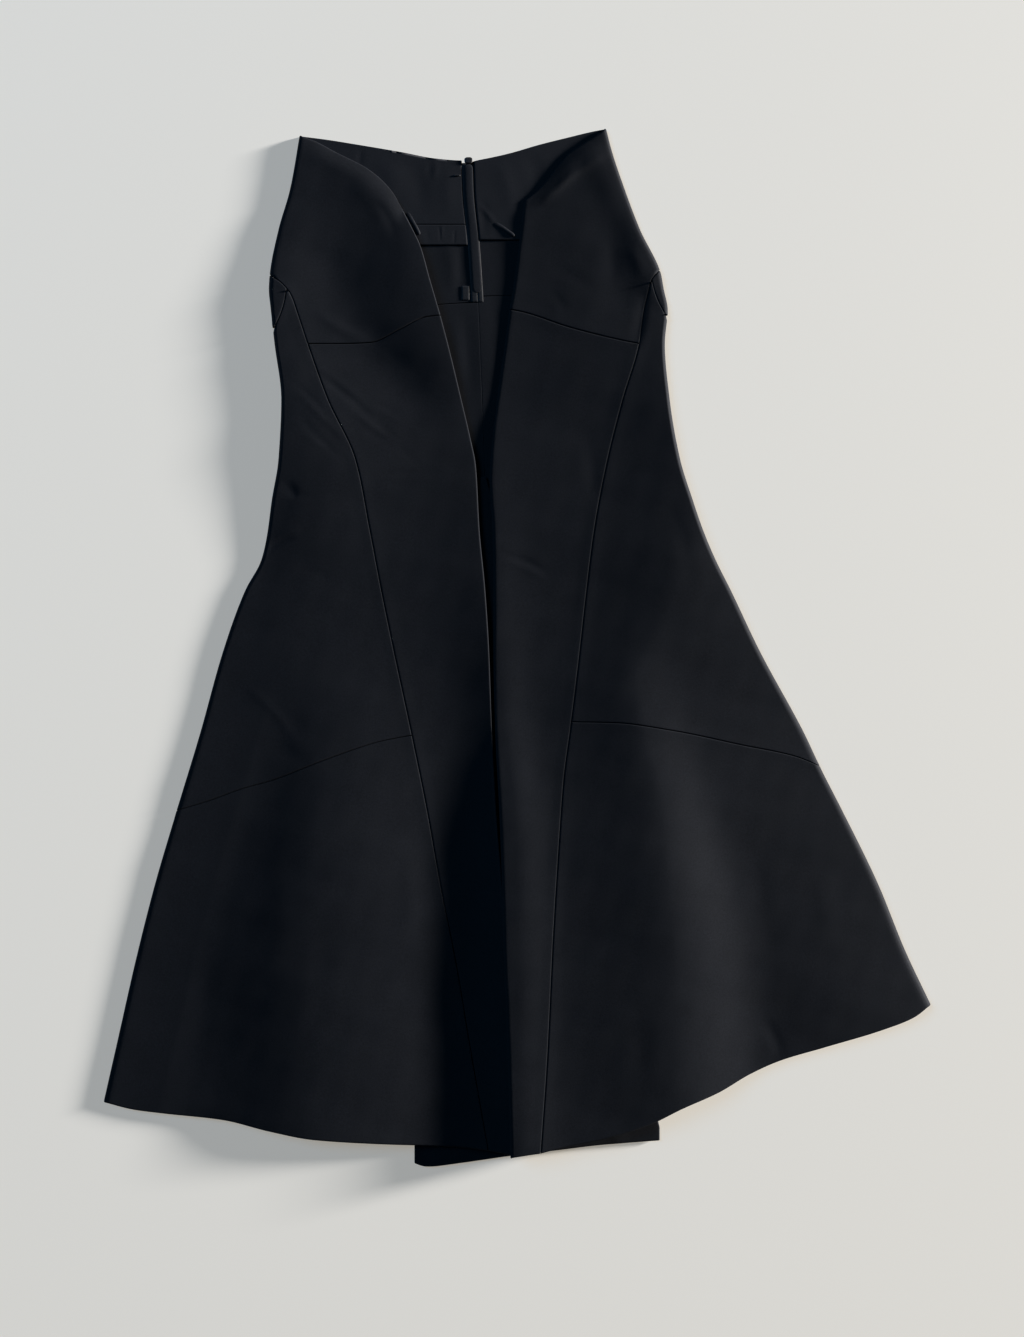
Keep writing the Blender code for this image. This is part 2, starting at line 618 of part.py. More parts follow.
def side_runs(side, hip, hip_end, knee):
    """The side edge in four runs: waist, hip, thigh and flare."""
    return (
        stations(down_line(side, bottom=hip), ROWS_YOKE),
        at_share(down_line(side, hip, hip_end), SEAM_SHARES),
        stations(down_line(side, hip_end, knee), ROWS_THIGH),
        stations(down_line(side, knee), ROWS_FLARE),
    )


def hip_lines(side, princess, start, end):
    """The princess seam down to the sliver's side seam, and that side seam."""
    head = down_line(princess, bottom=start)
    reach = head[:, 0] - head[0, 0]
    way = np.sign(reach[-1])
    shares = 1 - np.cos(np.radians((0, *ROLL_ANGLES[:-1])))
    across = np.append(shares * min(SIDE_ROLL_HIP, abs(reach[-1])), abs(reach[-1]))
    levels = np.interp(across, abs(reach), head[:, 1])
    head = np.stack([head[0, 0] + across * way, levels], axis=1)
    foot = np.array([smooth(side)(end), end])
    t = np.array(SEAM_SHARES)
    seam = head[-1] + (foot - head[-1]) * t[:, None]
    seam[:, 0] += HIP_SEAM_BOW * way * np.sin(math.pi * t)
    return head, seam


def front_half(word, half, lines, mirrored):
    """The five front pieces of one half. On the right half, left and right change places."""
    side, princess, front, waist, yoke, knee, hem, hem_centre, hip_start, hip_end = lines
    seam_inset = SEAM_GAP / 2
    inner, outer = (0, -1) if mirrored else (-1, 0)
    yoke_level, edge_level = yoke[outer][1], yoke[inner][1]
    knee_level, knee_side = knee[inner][1], knee[outer][1]
    waist_side, edge, thigh_side, flare_side = side_runs(
        side, princess[0][0], hip_end, knee_side
    )
    head, seam = hip_lines(side, princess, hip_start, hip_end)
    hip = at_share(down_line(princess, hip_start, yoke_level), HIP_SHARES)
    thigh = stations(down_line(princess, yoke_level, knee_level), ROWS_THIGH)
    flare = stations(down_line(princess, knee_level), ROWS_FLARE)
    yoke_side = joined(waist_side, head, hip)
    yoke_front = stations(down_line(front, bottom=edge_level), len(yoke_side) - 1)
    centre_front = stations(down_line(front, top=edge_level), ROWS_THIGH + ROWS_FLARE)
    on_princess = np.arange(len(yoke_side)) >= ROWS_YOKE

    def panel(name, edges, ends, rolls, insets, columns):
        """edges are nearer the side first; insets are for them, then for top and bottom."""
        (outside, inside), (top, bottom) = edges, ends
        far, near, above, below = insets
        if mirrored:
            outside, inside = inside, outside
            far, near = near, far
            rolls = rolls[::-1]
        plan = plan_grid(
            outside, inside, top, bottom, rolls, columns, (far, below, near, above)
        )
        height = half.height(plan)
        upper = np.concatenate([drawn_in(plan, height), height[..., None]], axis=-1)
        lower = upper - WALL * half.facing_out(plan)
        lower[..., 2] = np.maximum(lower[..., 2], half.least_inner(plan))
        skin(f"{name}_{word}", upper, lower, "crepe")

    def across(first, last):
        return np.array([last, first] if mirrored else [first, last])

    yoke_line, knee_line = cross_line(yoke), cross_line(knee)
    panel(
        "front_yoke",
        (yoke_side, yoke_front),
        (cross_line(waist), yoke_line),
        (SIDE_ROLL_HIP, half.roll),
        (seam_inset * on_princess, 0, 0, seam_inset),
        COLUMNS_CENTRE,
    )
    panel(
        "front_centre",
        (joined(thigh, flare), centre_front),
        (yoke_line, cross_line(hem_centre)),
        (SIDE_ROLL_HIP, half.roll),
        (seam_inset, 0, seam_inset, 0),
        COLUMNS_CENTRE,
    )
    on_seam = np.arange(len(seam) - 1 + ROWS_THIGH) < len(seam) - 1
    panel(
        "front_side",
        (joined(seam[1:], thigh_side), joined(hip[1:], thigh)),
        (across(seam[1], hip[1]), knee_line),
        (SIDE_ROLL_HIP, 0),
        (seam_inset * on_seam, seam_inset, seam_inset, seam_inset),
        COLUMNS_SIDE,
    )
    panel(
        "front_flare",
        (flare_side, flare),
        (knee_line, cross_line(hem)),
        (SIDE_ROLL_HIP, 0),
        (0, seam_inset, seam_inset, 0),
        COLUMNS_SIDE,
    )
    tip = edge[0] + (edge[1] - edge[0]) * HIP_TIP / length_of(edge[:2])
    turn_top = np.array([tip, *head[2:]])
    panel(
        "hip_turn",
        (np.array([tip, *edge[1:-1]]), seam[:-1]),
        (turn_top[::-1] if mirrored else turn_top, across(edge[-2], seam[-2])),
        (SIDE_ROLL_HIP, 0),
        (0, HIP_INSET, seam_inset, 0),
        1,
    )


def front():
    left = Front(
        SIDE_LEFT, FRONT_LEFT, WAIST_LEFT, FOLDS_LEFT, EDGE_LEVELS_LEFT, FRONT_ROLL_LEFT, -1
    )
    right = Front(
        SIDE_RIGHT, FRONT_RIGHT, WAIST_RIGHT, FOLDS_RIGHT, EDGE_LEVELS_RIGHT, FRONT_ROLL_RIGHT, 1
    )
    front_half(
        "left",
        left,
        (
            SIDE_LEFT, PRINCESS_LEFT, FRONT_LEFT, WAIST_LEFT, YOKE_LEFT, KNEE_LEFT,
            HEM_LEFT, HEM_CENTRE_LEFT, HIP_START_LEFT, HIP_END_LEFT,
        ),
        False,
    )
    front_half(
        "right",
        right,
        (
            SIDE_RIGHT, PRINCESS_RIGHT, FRONT_RIGHT, WAIST_RIGHT, YOKE_RIGHT, KNEE_RIGHT,
            HEM_RIGHT, HEM_CENTRE_RIGHT, HIP_START_RIGHT, HIP_END_RIGHT,
        ),
        True,
    )
    tip = (PLEAT_RIGHT[-1], PLEAT_LEFT[0])
    pleat = [np.array(rows, float) for rows in (PLEAT_LEFT, PLEAT_HEM, PLEAT_RIGHT, tip)]
    flat_piece("front_pleat", pleat, (0, 0, 0, 0), INNER_LOW, PLEAT_TOP, "crepe")


# ---------------------------------------------------------------- back


def cut(line, low, high):
    """The stretch of a left-to-right line between two places."""
    x = line[:, 0]
    inside = line[(x > low + NEAR_END) & (x < high - NEAR_END)]
    ends = [[at, np.interp(at, x, line[:, 1])] for at in (low, high)]
    return np.concatenate([ends[:1], inside, ends[1:]])


def thinned(line):
    return stations(line, max(1, round(length_of(line) / BACK_STEP)))


def level_run(rows, *levels):
    """A waist-to-hem line through these levels, with the same points for both its panels."""
    return joined(*[thinned(down_line(rows, a, b)) for a, b in zip(levels, levels[1:])])


def back_half(word, side, princess, yoke, knee, hem, hip_end, mirrored):
    """The four back pieces of one half, flat on the surface."""
    seam_inset = SEAM_GAP / 2
    inner, outer = (0, -1) if mirrored else (-1, 0)
    hip, yoke_level, yoke_centre = princess[0][0], yoke[outer][1], yoke[inner][1]
    knee_level, knee_side = knee[inner][1], knee[outer][1]
    hem_level = hem[inner][1]
    seam_foot = princess[-1]
    flip = -1 if mirrored else 1
    waist_line, hem_line = cross_line(BACK_WAIST), cross_line(hem)
    middle = CENTRE_BACK[0][1]
    middle_top = float(np.interp(middle, *waist_line.T))
    waist = thinned(cut(waist_line, *sorted((side[0][1], middle))))[::-flip]
    yoke_line, knee_line = thinned(cross_line(yoke))[::flip], thinned(cross_line(knee))[::flip]
    hem_flare = thinned(cut(hem_line, *sorted((hem[outer][0], seam_foot[1]))))[::flip]
    hem_centre = thinned(cut(hem_line, *sorted((seam_foot[1], hem[inner][0]))))[::flip]
    waist_side, hip_side, thigh_side, flare_side = side_runs(side, hip, hip_end, knee_side)
    seam_levels = (hip, yoke_level, knee_level, seam_foot[0])

    def piece(name, *sides):
        """sides run anticlockwise on the left half: (line, inset) each."""
        lines = [line for line, _ in sides]
        insets = [inset for _, inset in sides]
        if mirrored:
            lines = [line[::-1] for line in lines[::-1]]
            insets = insets[::-1]
        flat_piece(f"{name}_{word}", lines, insets, 0, BACK_TOP, "crepe")

    piece(
        "back_yoke",
        (waist_side, BACK_INSET),
        (level_run(princess, *seam_levels[:2]), seam_inset),
        (yoke_line, seam_inset),
        (level_run(CENTRE_BACK, middle_top, yoke_centre)[::-1], seam_inset),
        (waist, 0),
    )
    piece(
        "back_centre",
        (level_run(princess, *seam_levels[1:]), seam_inset),
        (hem_centre, BACK_HEM_LIFT),
        (level_run(CENTRE_BACK, yoke_centre, hem_level)[::-1], seam_inset),
        (yoke_line[::-1], seam_inset),
    )
    piece(
        "back_side",
        (joined(hip_side, thigh_side), BACK_INSET),
        (knee_line, seam_inset),
        (level_run(princess, *seam_levels[:3])[::-1], seam_inset),
    )
    piece(
        "back_flare",
        (flare_side, BACK_INSET),
        (hem_flare, BACK_HEM_LIFT),
        (level_run(princess, *seam_levels[2:])[::-1], seam_inset),
        (knee_line[::-1], seam_inset),
    )


def back():
    left = (SIDE_LEFT, PRINCESS_LEFT, BACK_YOKE_LEFT, KNEE_LEFT, BACK_HEM_LEFT)
    right = (SIDE_RIGHT, PRINCESS_RIGHT, BACK_YOKE_RIGHT, KNEE_RIGHT, BACK_HEM_RIGHT)
    back_half("left", *left, HIP_END_LEFT, False)
    back_half("right", *right, HIP_END_RIGHT, True)


# ---------------------------------------------------------------- inside of the waist


def beside_zip(offset, top, bottom):
    """A line that keeps a distance from the centre back line, to its right if positive."""
    return down_line(CENTRE_BACK, top, bottom) + np.array([offset, 0])


def four_sides(left, bottom, right, top):
    """A closed outline of left and right lines that run down, and the lines between them."""
    return [thinned(line) for line in (left, bottom, right[::-1], top[::-1])]


def straight(a, b):
    return np.array([a, b], float)


def waist_facings():
    waist_line = cross_line(BACK_WAIST)
    low_left, low_right = cross_line(FACING_LOW_LEFT), cross_line(FACING_LOW_RIGHT)
    side_left = down_line(SIDE_LEFT, bottom=FACING_LOW_LEFT[0][1])
    side_right = down_line(SIDE_RIGHT, bottom=FACING_LOW_RIGHT[-1][1])
    zip_left = beside_zip(-TAPE_LEFT - SEAM_GAP, CENTRE_BACK[0][0], FACING_LOW_LEFT[-1][1])
    zip_right = beside_zip(TAPE_RIGHT + SEAM_GAP, CENTRE_BACK[0][0], FACING_LOW_RIGHT[0][1])
    for name, left, low_line, right, insets in (
        ("back_facing_left", side_left, low_left, zip_left, (FACING_INSET, 0, 0, FACING_STEP)),
        ("back_facing_right", zip_right, low_right, side_right, (0, 0, FACING_INSET, FACING_STEP)),
    ):
        bottom = cut(low_line, left[-1, 0], right[-1, 0])
        top = cut(waist_line, left[0, 0], right[0, 0])
        left, right = left.copy(), right.copy()
        left[0], left[-1], right[0], right[-1] = top[0], bottom[0], top[-1], bottom[-1]
        sides = four_sides(left, bottom, right, top)
        flat_piece(name, sides, insets, INNER_LOW, FACING_TOP, "facing")


def waist_band():
    """The narrow band under the left facing."""
    top = FACING_LOW_LEFT[-1][1] - SEAM_GAP
    right = beside_zip(-TAPE_LEFT - SEAM_GAP, top, BAND_LOW)
    left = straight((BAND_LEFT, top), (BAND_LEFT, BAND_LOW))
    sides = four_sides(
        left, straight(left[1], right[-1]), right, straight(left[0], right[0])
    )
    flat_piece("back_band_left", sides, (0, 0, 0, 0), INNER_LOW, FACING_TOP, "facing")


def zip_pieces():
    middle = SEAM_GAP / 2
    for name, near, far in (
        ("zip_tape_left", -middle, -TAPE_LEFT),
        ("zip_tape_right", middle, TAPE_RIGHT),
    ):
        left = beside_zip(min(near, far), ZIP_TOP, TAPE_FOOT)
        right = beside_zip(max(near, far), ZIP_TOP, TAPE_FOOT)
        bottom, top = straight(left[-1], right[-1]), straight(left[0], right[0])
        sides = four_sides(left, bottom, right, top)
        flat_piece(name, sides, (0, 0, 0, 0), INNER_LOW, FACING_TOP, "zip")
    coil_path = thinned(beside_zip(0, ZIP_TOP, ZIP_FOOT))
    round_strip("zip_coil", coil_path, COIL_HALF, ON_FACING, ON_FACING + COIL_HEIGHT, "zip")
    slider_path = stations(beside_zip(0, SLIDER_TOP, ZIP_TOP + LAYER_GAP), 2)
    top = ON_FACING + SLIDER_HEIGHT
    round_strip("zip_slider", slider_path, SLIDER_HALF, ON_FACING, top, "metal")
    left, bottom, right, top = STAY
    sides = four_sides(
        straight((left, top), (left, bottom)),
        straight((left, bottom), (right, bottom)),
        straight((right, top), (right, bottom)),
        straight((left, top), (right, top)),
    )
    flat_piece("zip_stay", sides, (0, 0, 0, 0), INNER_LOW, FACING_TOP, "zip")


def waist_trim():
    left, right, level = HOOK
    bar = stations(straight((left, level), (right, level)), 3)
    round_strip("waist_hook", bar, HOOK_HALF, ON_FACING, ON_FACING + HOOK_HEIGHT, "metal")
    for name, path in (("front_facing_left", CURL_LEFT), ("front_facing_right", CURL_RIGHT)):
        round_strip(name, path, CURL_HALF, ON_FACING, ON_FACING + CURL_HEIGHT, "facing")


def main():
    for old in list(bpy.data.objects):
        bpy.data.objects.remove(old)
    front()
    back()
    waist_facings()
    waist_band()
    zip_pieces()
    waist_trim()


main()
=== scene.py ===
"""The looks of a black mermaid fishtail skirt that lies on its back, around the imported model.

X runs across the skirt, Y from the hem to the waist, Z up from the surface that it lies on.
Shapes are worked out in millimetres, and meshes, lights and the camera are placed in metres.
Each panel is a thin shell close to the form of its solid, with its creases and seams added.
"""

import math

import bpy
import numpy as np
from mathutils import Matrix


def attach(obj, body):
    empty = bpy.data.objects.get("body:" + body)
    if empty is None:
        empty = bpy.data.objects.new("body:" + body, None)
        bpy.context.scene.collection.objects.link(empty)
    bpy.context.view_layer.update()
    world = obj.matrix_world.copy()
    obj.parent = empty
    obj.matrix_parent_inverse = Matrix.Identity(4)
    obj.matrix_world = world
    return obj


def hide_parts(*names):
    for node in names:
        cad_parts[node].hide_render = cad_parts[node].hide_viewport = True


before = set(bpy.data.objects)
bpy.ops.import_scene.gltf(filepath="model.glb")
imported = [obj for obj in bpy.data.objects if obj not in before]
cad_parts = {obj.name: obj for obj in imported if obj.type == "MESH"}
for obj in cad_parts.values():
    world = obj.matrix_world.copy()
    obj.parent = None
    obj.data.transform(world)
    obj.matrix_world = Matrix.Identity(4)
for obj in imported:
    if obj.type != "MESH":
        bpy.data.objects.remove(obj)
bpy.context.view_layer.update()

MM = 0.001

# ---------------------------------------------------------------- driving sizes

WALL, FACING = 1.6, 1.0  # how thick the panels are, and the facings and bands
SEAM_GAP, LAYER_GAP = 0.3, 0.3
BACK_INSET, BACK_HEM_LIFT = 5.0, 5.0  # how far the back stays inside the front's outline
LIE = 6.2  # height of the front where no fold lifts it
# The least height of the outer face: rows of (level y, in the middle, at the side edge).
LEAST_TOPS = ((200, 5.6, 4.4), (260, 3.5, 4.0), (385, 3.5, 4.0), (430, 4.4, 4.6))
NEAR_SIDE = 60.0  # from here inwards the middle's least height holds
SIDE_ROLL_HIP, SIDE_ROLL_HEM = 3.5, 5.0  # width of the rounding at the side edge
SIDE_ROLL_LEVELS = (100.0, -400.0)
FRONT_ROLL_LEFT, FRONT_ROLL_RIGHT = 1.0, 4.0  # and at the centre front edge
UNDER_ROLL = 1.5  # this many roll widths in, the inner face clears the layer beneath
WAIST_DIP, WAIST_LIP = 2.4, 18.0  # how far the cloth sinks at the waist edge, and from where
DIP_FADE = 40.0  # the sinking fades out this near to the side
DRAW_IN, DRAW_FROM = 1 / 1056, 3.0  # share that each mm above a height draws a point in
MIDDLE = (-5.0, -22.0)  # and the place that it is drawn towards

# ---------------------------------------------------------------- layers, from the floor up

BACK_TOP = WALL
INNER_LOW = BACK_TOP + LAYER_GAP
FACING_TOP = INNER_LOW + FACING
PLEAT_TOP = INNER_LOW + WALL
ON_FACING = FACING_TOP + LAYER_GAP
ON_PLEAT = PLEAT_TOP + LAYER_GAP
OVER_BACK = BACK_TOP + 2 * LAYER_GAP
# How high the centre front edges lie, from the hem up: rows of (level y, height of the edge).
EDGE_LEVELS_LEFT = (
    (-530, 18.6), (-400, 18.4), (-300, 17.0), (-223, 14.8), (-160, 12.8), (-97, 10.8), (-34, 8.6),
    (30, 7.2), (92, 6.2), (150, 5.2), (217, 5.0), (260, 6.4), (291, 8.0), (318, 9.0),
    (348, 9.4), (386, 9.2), (421, 8.4), (457, 5.2),
)
EDGE_LEVELS_RIGHT = (
    (-530, 20.6), (-400, 20.4), (-300, 19.0), (-223, 16.6), (-160, 13.8), (-97, 10.6), (-34, 8.2),
    (30, 6.6), (92, 5.8), (230, ON_PLEAT), (270, OVER_BACK), (385, OVER_BACK), (415, ON_FACING),
)

# ---------------------------------------------------------------- outlines and seams
# Lines that run from waist to hem: rows of (level y, place x).

SIDE_LEFT = (
    (536, -228), (480, -238), (438, -250), (391, -259), (375, -260), (354, -258),
    (318, -254), (260, -247), (197, -250), (155, -257), (118, -262), (92, -268),
    (60, -285), (-3, -308), (-92, -333), (-171, -357), (-249, -380), (-328, -400),
    (-412, -419), (-476, -433.5),
)
SIDE_RIGHT = (
    (543.5, 93.5), (522, 99), (480, 113), (438, 129), (391, 151), (375, 154), (354, 158),
    (318, 155), (260, 160), (197, 171), (155, 184), (123, 195), (92, 208), (60, 224),
    (-3, 254), (-92, 302), (-124, 317), (-171, 341), (-249, 379), (-318, 407),
    (-374, 433.5),
)
PRINCESS_LEFT = (
    (391, -259), (384, -249), (370, -237), (348, -229), (318, -219), (260, -198),
    (197, -169), (123, -154), (60, -142), (-3, -129), (-92, -110), (-171, -94),
    (-249, -80), (-328, -64), (-412, -50), (-527, -30),
)
PRINCESS_RIGHT = (
    (396, 149), (385, 141), (374, 138), (353, 133), (318, 128), (260, 111), (197, 95),
    (123, 81), (60, 73), (-3, 66), (-78, 57), (-139, 49), (-207, 44), (-304, 38),
    (-428, 32), (-530, 25),
)
FRONT_LEFT = (
    (457, -119), (434, -107), (421, -101), (386, -91), (348, -80), (318, -72),
    (260, -58), (217, -48), (192, -43), (123, -39), (60, -33), (-3, -29), (-92, -26),
    (-171, -22), (-249, -16), (-328, -11), (-412, -8), (-532, -4),
)
FRONT_RIGHT = (
    (467, 7), (431, 3), (406, 0), (377, -4), (354, -8), (318, -13), (260, -21),
    (197, -28), (176, -29), (123, -26), (60, -25), (-3, -25), (-92, -23), (-171, -19),
    (-249, -16), (-328, -14), (-412, -10), (-535, -7),
)
# Where the zip runs, and the centre back seam below it.
CENTRE_BACK = (
    (514, -51), (480, -50), (427, -45), (384, -42), (367, -41), (-100, -25), (-528, -10),
)

# Lines that run across, from left to right: rows of (place x, level y).

WAIST_LEFT = ((-228, 536), (-213, 531), (-190, 519), (-154, 500), (-131, 478), (-119, 457))
WAIST_RIGHT = ((7, 467), (22, 479), (55, 518), (84, 537), (93.5, 543.5))
BACK_WAIST = (
    (-228, 536), (-197, 532), (-150, 524), (-119, 518), (-87, 511), (-56, 508),
    (-40, 511), (-8, 518), (23, 527), (55, 535), (80, 541), (93.5, 543.5),
)
YOKE_LEFT = ((-219, 318), (-181, 318), (-154, 319), (-123, 333), (-96, 346), (-80, 348))
YOKE_RIGHT = ((-8, 354), (3, 352), (56, 335), (108, 322), (128, 318))
KNEE_LEFT = (
    (-357, -171), (-324, -161), (-291, -149), (-259, -140), (-202, -118), (-145, -99),
    (-110, -92),
)
KNEE_RIGHT = ((57, -78), (102, -79), (162, -87), (234, -102), (291, -114), (317, -124))
HEM_LEFT = (
    (-433.5, -476), (-402, -484), (-371, -488), (-308, -495), (-260, -507),
    (-213, -516), (-150, -520), (-64, -523), (-30, -527),
)
HEM_CENTRE_LEFT = ((-30, -527), (-4, -532))
HEM_CENTRE_RIGHT = ((-7, -535), (25, -530))
HEM_RIGHT = (
    (25, -530), (48, -524), (87, -516), (139, -500), (172, -484), (212, -466),
    (244, -447), (275, -433), (322, -419), (385, -400), (417, -387), (433.5, -374),
)
BACK_YOKE_LEFT = ((-219, 318), (-150, 342), (-90, 359), (-41, 362))
BACK_YOKE_RIGHT = ((-41, 368), (-12, 369), (60, 352), (128, 318))
BACK_HEM_LEFT = (
    (-433.5, -476), (-371, -485), (-308, -492), (-213, -512), (-80, -519), (-10, -524),
)
BACK_HEM_RIGHT = (
    (-10, -524), (48, -519), (139, -496), (212, -462), (275, -430), (385, -398),
    (433.5, -374),
)
# The sliver at the hip: the levels of its seam's ends, its seam's bow and its blunt tips.
HIP_START_LEFT, HIP_END_LEFT = 376.0, 332.0
HIP_START_RIGHT, HIP_END_RIGHT = 385.0, 345.0
HIP_SEAM_BOW = 2.5
HIP_TIP, HIP_TIP_CLEAR, HIP_FOOT = 1.2, 1.4, 0.94
SIDE_TIP, BACK_SIDE_TIP = 0.004, 0.012  # share of a side panel that its blunt top tip takes

PLEAT_LEFT = ((-38, 178), (-107, -522), (-107, -540))
PLEAT_HEM = (
    (-107, -540), (-96, -543.5), (-54, -539), (-13, -533), (45, -526), (86, -521),
    (149, -516),
)
PLEAT_RIGHT = ((-32, 178), (149, -502), (149, -516))

FACING_LOW_LEFT = ((-243, 470), (-190, 455), (-106, 443), (-55, 443))
FACING_LOW_RIGHT = ((-40, 427), (0, 427), (60, 438), (122, 458))
FACING_INSET, FACING_STEP = 9.0, 0.6  # its distance from the side and from the waist edge
BAND_LEFT, BAND_LOW = -113.0, 421.6

ZIP_TOP, ZIP_FOOT = 506.0, 372.0
TAPE_LEFT, TAPE_RIGHT = 7.0, 5.5
TAPE_FOOT = 362.0
COIL_HALF, COIL_LOW = 4.3, 2.35
COIL_TOPS = ((506, 3.6), (450, 3.45), (432, 2.95), (372, 2.75))  # level y, height of the top
ROUND_TOP, FLAT_TOP = 1.0, 0.25
TAPE_RISE = 0.4
# Heights of slider, bar and curls are above the facing, at both ends.
SLIDER_HALF, SLIDER_HEIGHTS, SLIDER_TOP = 4.2, (0.9, 1.2), 513.0
STAY = (-58.0, 364.0, -49.9, 379.0)  # left, bottom, right, top of the patch at the zip's foot
HOOK = (-66.0, -59.5, 494.0)  # left, right and level of the bar
HOOK_HALF, HOOK_HEIGHTS = 0.9, (0.7, 0.7)
CURL_LEFT = ((-114.5, 455), (-110, 447), (-106, 440), (-102, 432))
CURL_RIGHT = ((-23, 444), (-16, 440), (-9, 435), (-2.5, 430.5))
CURL_HALF, CURL_HEIGHTS = 2.0, (0.2, 1.4)

# ---------------------------------------------------------------- folds and creases
# Folds: how flat the top is (2 is round, 4 is flat), then rows from the waist to the hem.
# Columns: level y, place x of the crest, rise (below 0 in a valley), width on its left and right.

FOLDS_LEFT = (
    # side edge, thin below the hip
    (2, ((200, -250, 0, 30, 30), (118, -262, -0.8, 30, 30), (-3, -308, -1.6, 50, 50),
         (-171, -357, -2.3, 80, 80), (-476, -434, -2.5, 90, 90))),
    # hip, and on to the crown of the thigh
    (2, (
        (470, -240, 0, 30, 30), (430, -246, 1.6, 34, 34), (380, -256, 3.4, 44, 46),
        (330, -252, 3.8, 50, 56), (280, -240, 4.2, 60, 70), (240, -226, 4.6, 80, 88),
        (195, -215, 4.0, 90, 95), (150, -205, 2.2, 80, 80), (105, -200, 0.8, 60, 60),
        (40, -196, 0, 60, 60),
    )),
    # raised edge of the V
    (2, (
        (530, -190, 0.5, 20, 40), (516, -186, 0.8, 24, 40), (490, -150, 1.6, 40, 40),
        (458, -120, 2.8, 46, 40), (421, -106, 3.8, 50, 40), (386, -95, 4.6, 66, 40),
        (348, -84, 4.8, 76, 40), (318, -75, 4.4, 68, 40), (291, -68, 3.4, 48, 40),
        (260, -62, 1.6, 36, 40), (217, -52, 0.3, 32, 40), (190, -46, 0, 30, 40),
    )),
    # valley across the yoke and on below its seam
    (2, (
        (430, -210, 0, 24, 24), (400, -196, -0.5, 26, 26), (330, -160, -0.7, 28, 28),
        (291, -135, -0.5, 28, 28), (250, -110, -0.3, 28, 28), (210, -90, 0, 28, 28),
    )),
    # strip that rises to the centre front edge
    (1.3, (
        (230, -50, 0, 40, 60), (170, -43, 1.8, 45, 60), (92, -34, 3.0, 52, 60),
        (30, -24, 3.8, 44, 60), (-34, -17, 5.2, 40, 60), (-97, -11, 6.8, 36, 60),
        (-160, -9, 8.2, 34, 60), (-223, -9, 9.6, 34, 60), (-286, -6, 10.6, 40, 60),
        (-412, -2, 12.0, 36, 60), (-530, -2, 12.0, 36, 60),
    )),
    # trough before it
    (3, (
        (-60, -60, 0, 38, 30), (-160, -60, -0.8, 38, 30), (-223, -60, -1.2, 38, 30),
        (-412, -60, -1.6, 42, 32), (-530, -60, -1.6, 42, 32),
    )),
    # broad fold of the flare
    (2.2, (
        (10, -190, 0, 50, 70), (-34, -192, 0.6, 50, 70), (-97, -196, 2.4, 52, 72),
        (-160, -198, 4.8, 56, 82), (-223, -200, 6.6, 70, 100), (-286, -200, 8.0, 84, 122),
        (-412, -202, 9.0, 90, 136), (-530, -204, 9.2, 92, 138),
    )),
)
FOLDS_RIGHT = (
    # side edge from waist to hip
    (2, ((530, 88, 0, 20, 20), (505, 92, 1.4, 20, 20), (400, 138, 1.6, 24, 24),
         (350, 150, 0.8, 28, 28), (310, 152, 0, 28, 28))),
    # roll behind the waist lip
    (2, ((545, 100, 0, 30, 30), (530, 86, 1.0, 30, 30), (478, 24, 1.4, 22, 22),
         (462, 12, 0, 20, 20))),
    # hollow before the hip
    (2, ((490, 98, 0, 20, 20), (462, 103, -0.5, 20, 20), (370, 108, -0.5, 20, 20),
         (330, 108, 0, 20, 20))),
    # the half that lies lowest along the V
    (2, ((536, 70, 0, 50, 50), (480, 22, -1.0, 50, 50), (431, 3, -1.8, 56, 56),
         (360, -7, -2.6, 60, 60), (260, -21, -2.6, 60, 56), (190, -29, -1.4, 60, 50),
         (110, -27, 0, 60, 40))),
    # rise of the side panel, and on as the round fold of the flare
    (1.6, (
        (355, 164, 0, 60, 60), (318, 168, 2.2, 62, 60), (260, 174, 4.6, 68, 60),
        (200, 184, 6.4, 84, 80), (150, 188, 7.2, 96, 90), (92, 180, 7.6, 108, 120),
        (29, 152, 7.2, 84, 160), (-34, 126, 6.8, 60, 180), (-97, 136, 7.0, 66, 140),
        (-160, 152, 7.2, 80, 100), (-223, 158, 6.8, 88, 90), (-286, 163, 6.0, 92, 88),
        (-350, 168, 4.8, 94, 88), (-412, 168, 3.4, 94, 88), (-530, 168, 2.8, 94, 88),
    )),
    # edge of the centre panel
    (2, (
        (230, -26, 0, 60, 24), (170, -26, 0.8, 60, 24), (92, -24, 1.1, 60, 24),
        (30, -22, 1.4, 60, 24), (-34, -18, 1.8, 60, 24), (-97, -12, 2.4, 60, 24),
        (-160, -4, 3.0, 60, 26), (-223, 0, 3.2, 60, 28), (-286, 2, 3.0, 60, 28),
        (-412, 2, 2.8, 60, 30), (-530, 2, 2.8, 60, 32),
    )),
    # raised middle of the flare
    (6, (
        (40, 60, 0, 200, 84), (-20, 60, 1.0, 200, 92), (-97, 60, 3.4, 200, 108),
        (-160, 66, 6.2, 200, 117), (-223, 70, 9.0, 200, 129), (-286, 72, 11.0, 200, 142),
        (-350, 72, 12.4, 200, 150), (-412, 72, 13.0, 200, 153), (-530, 72, 13.2, 200, 154),
    )),
    # side edge of the flare
    (2, ((-60, 262, 0, 60, 60), (-100, 275, 0.8, 80, 80), (-160, 295, 2.0, 90, 100),
         (-223, 315, 3.4, 100, 110), (-286, 330, 4.6, 110, 120), (-350, 345, 5.2, 120, 130),
         (-420, 350, 5.2, 125, 140))),
)

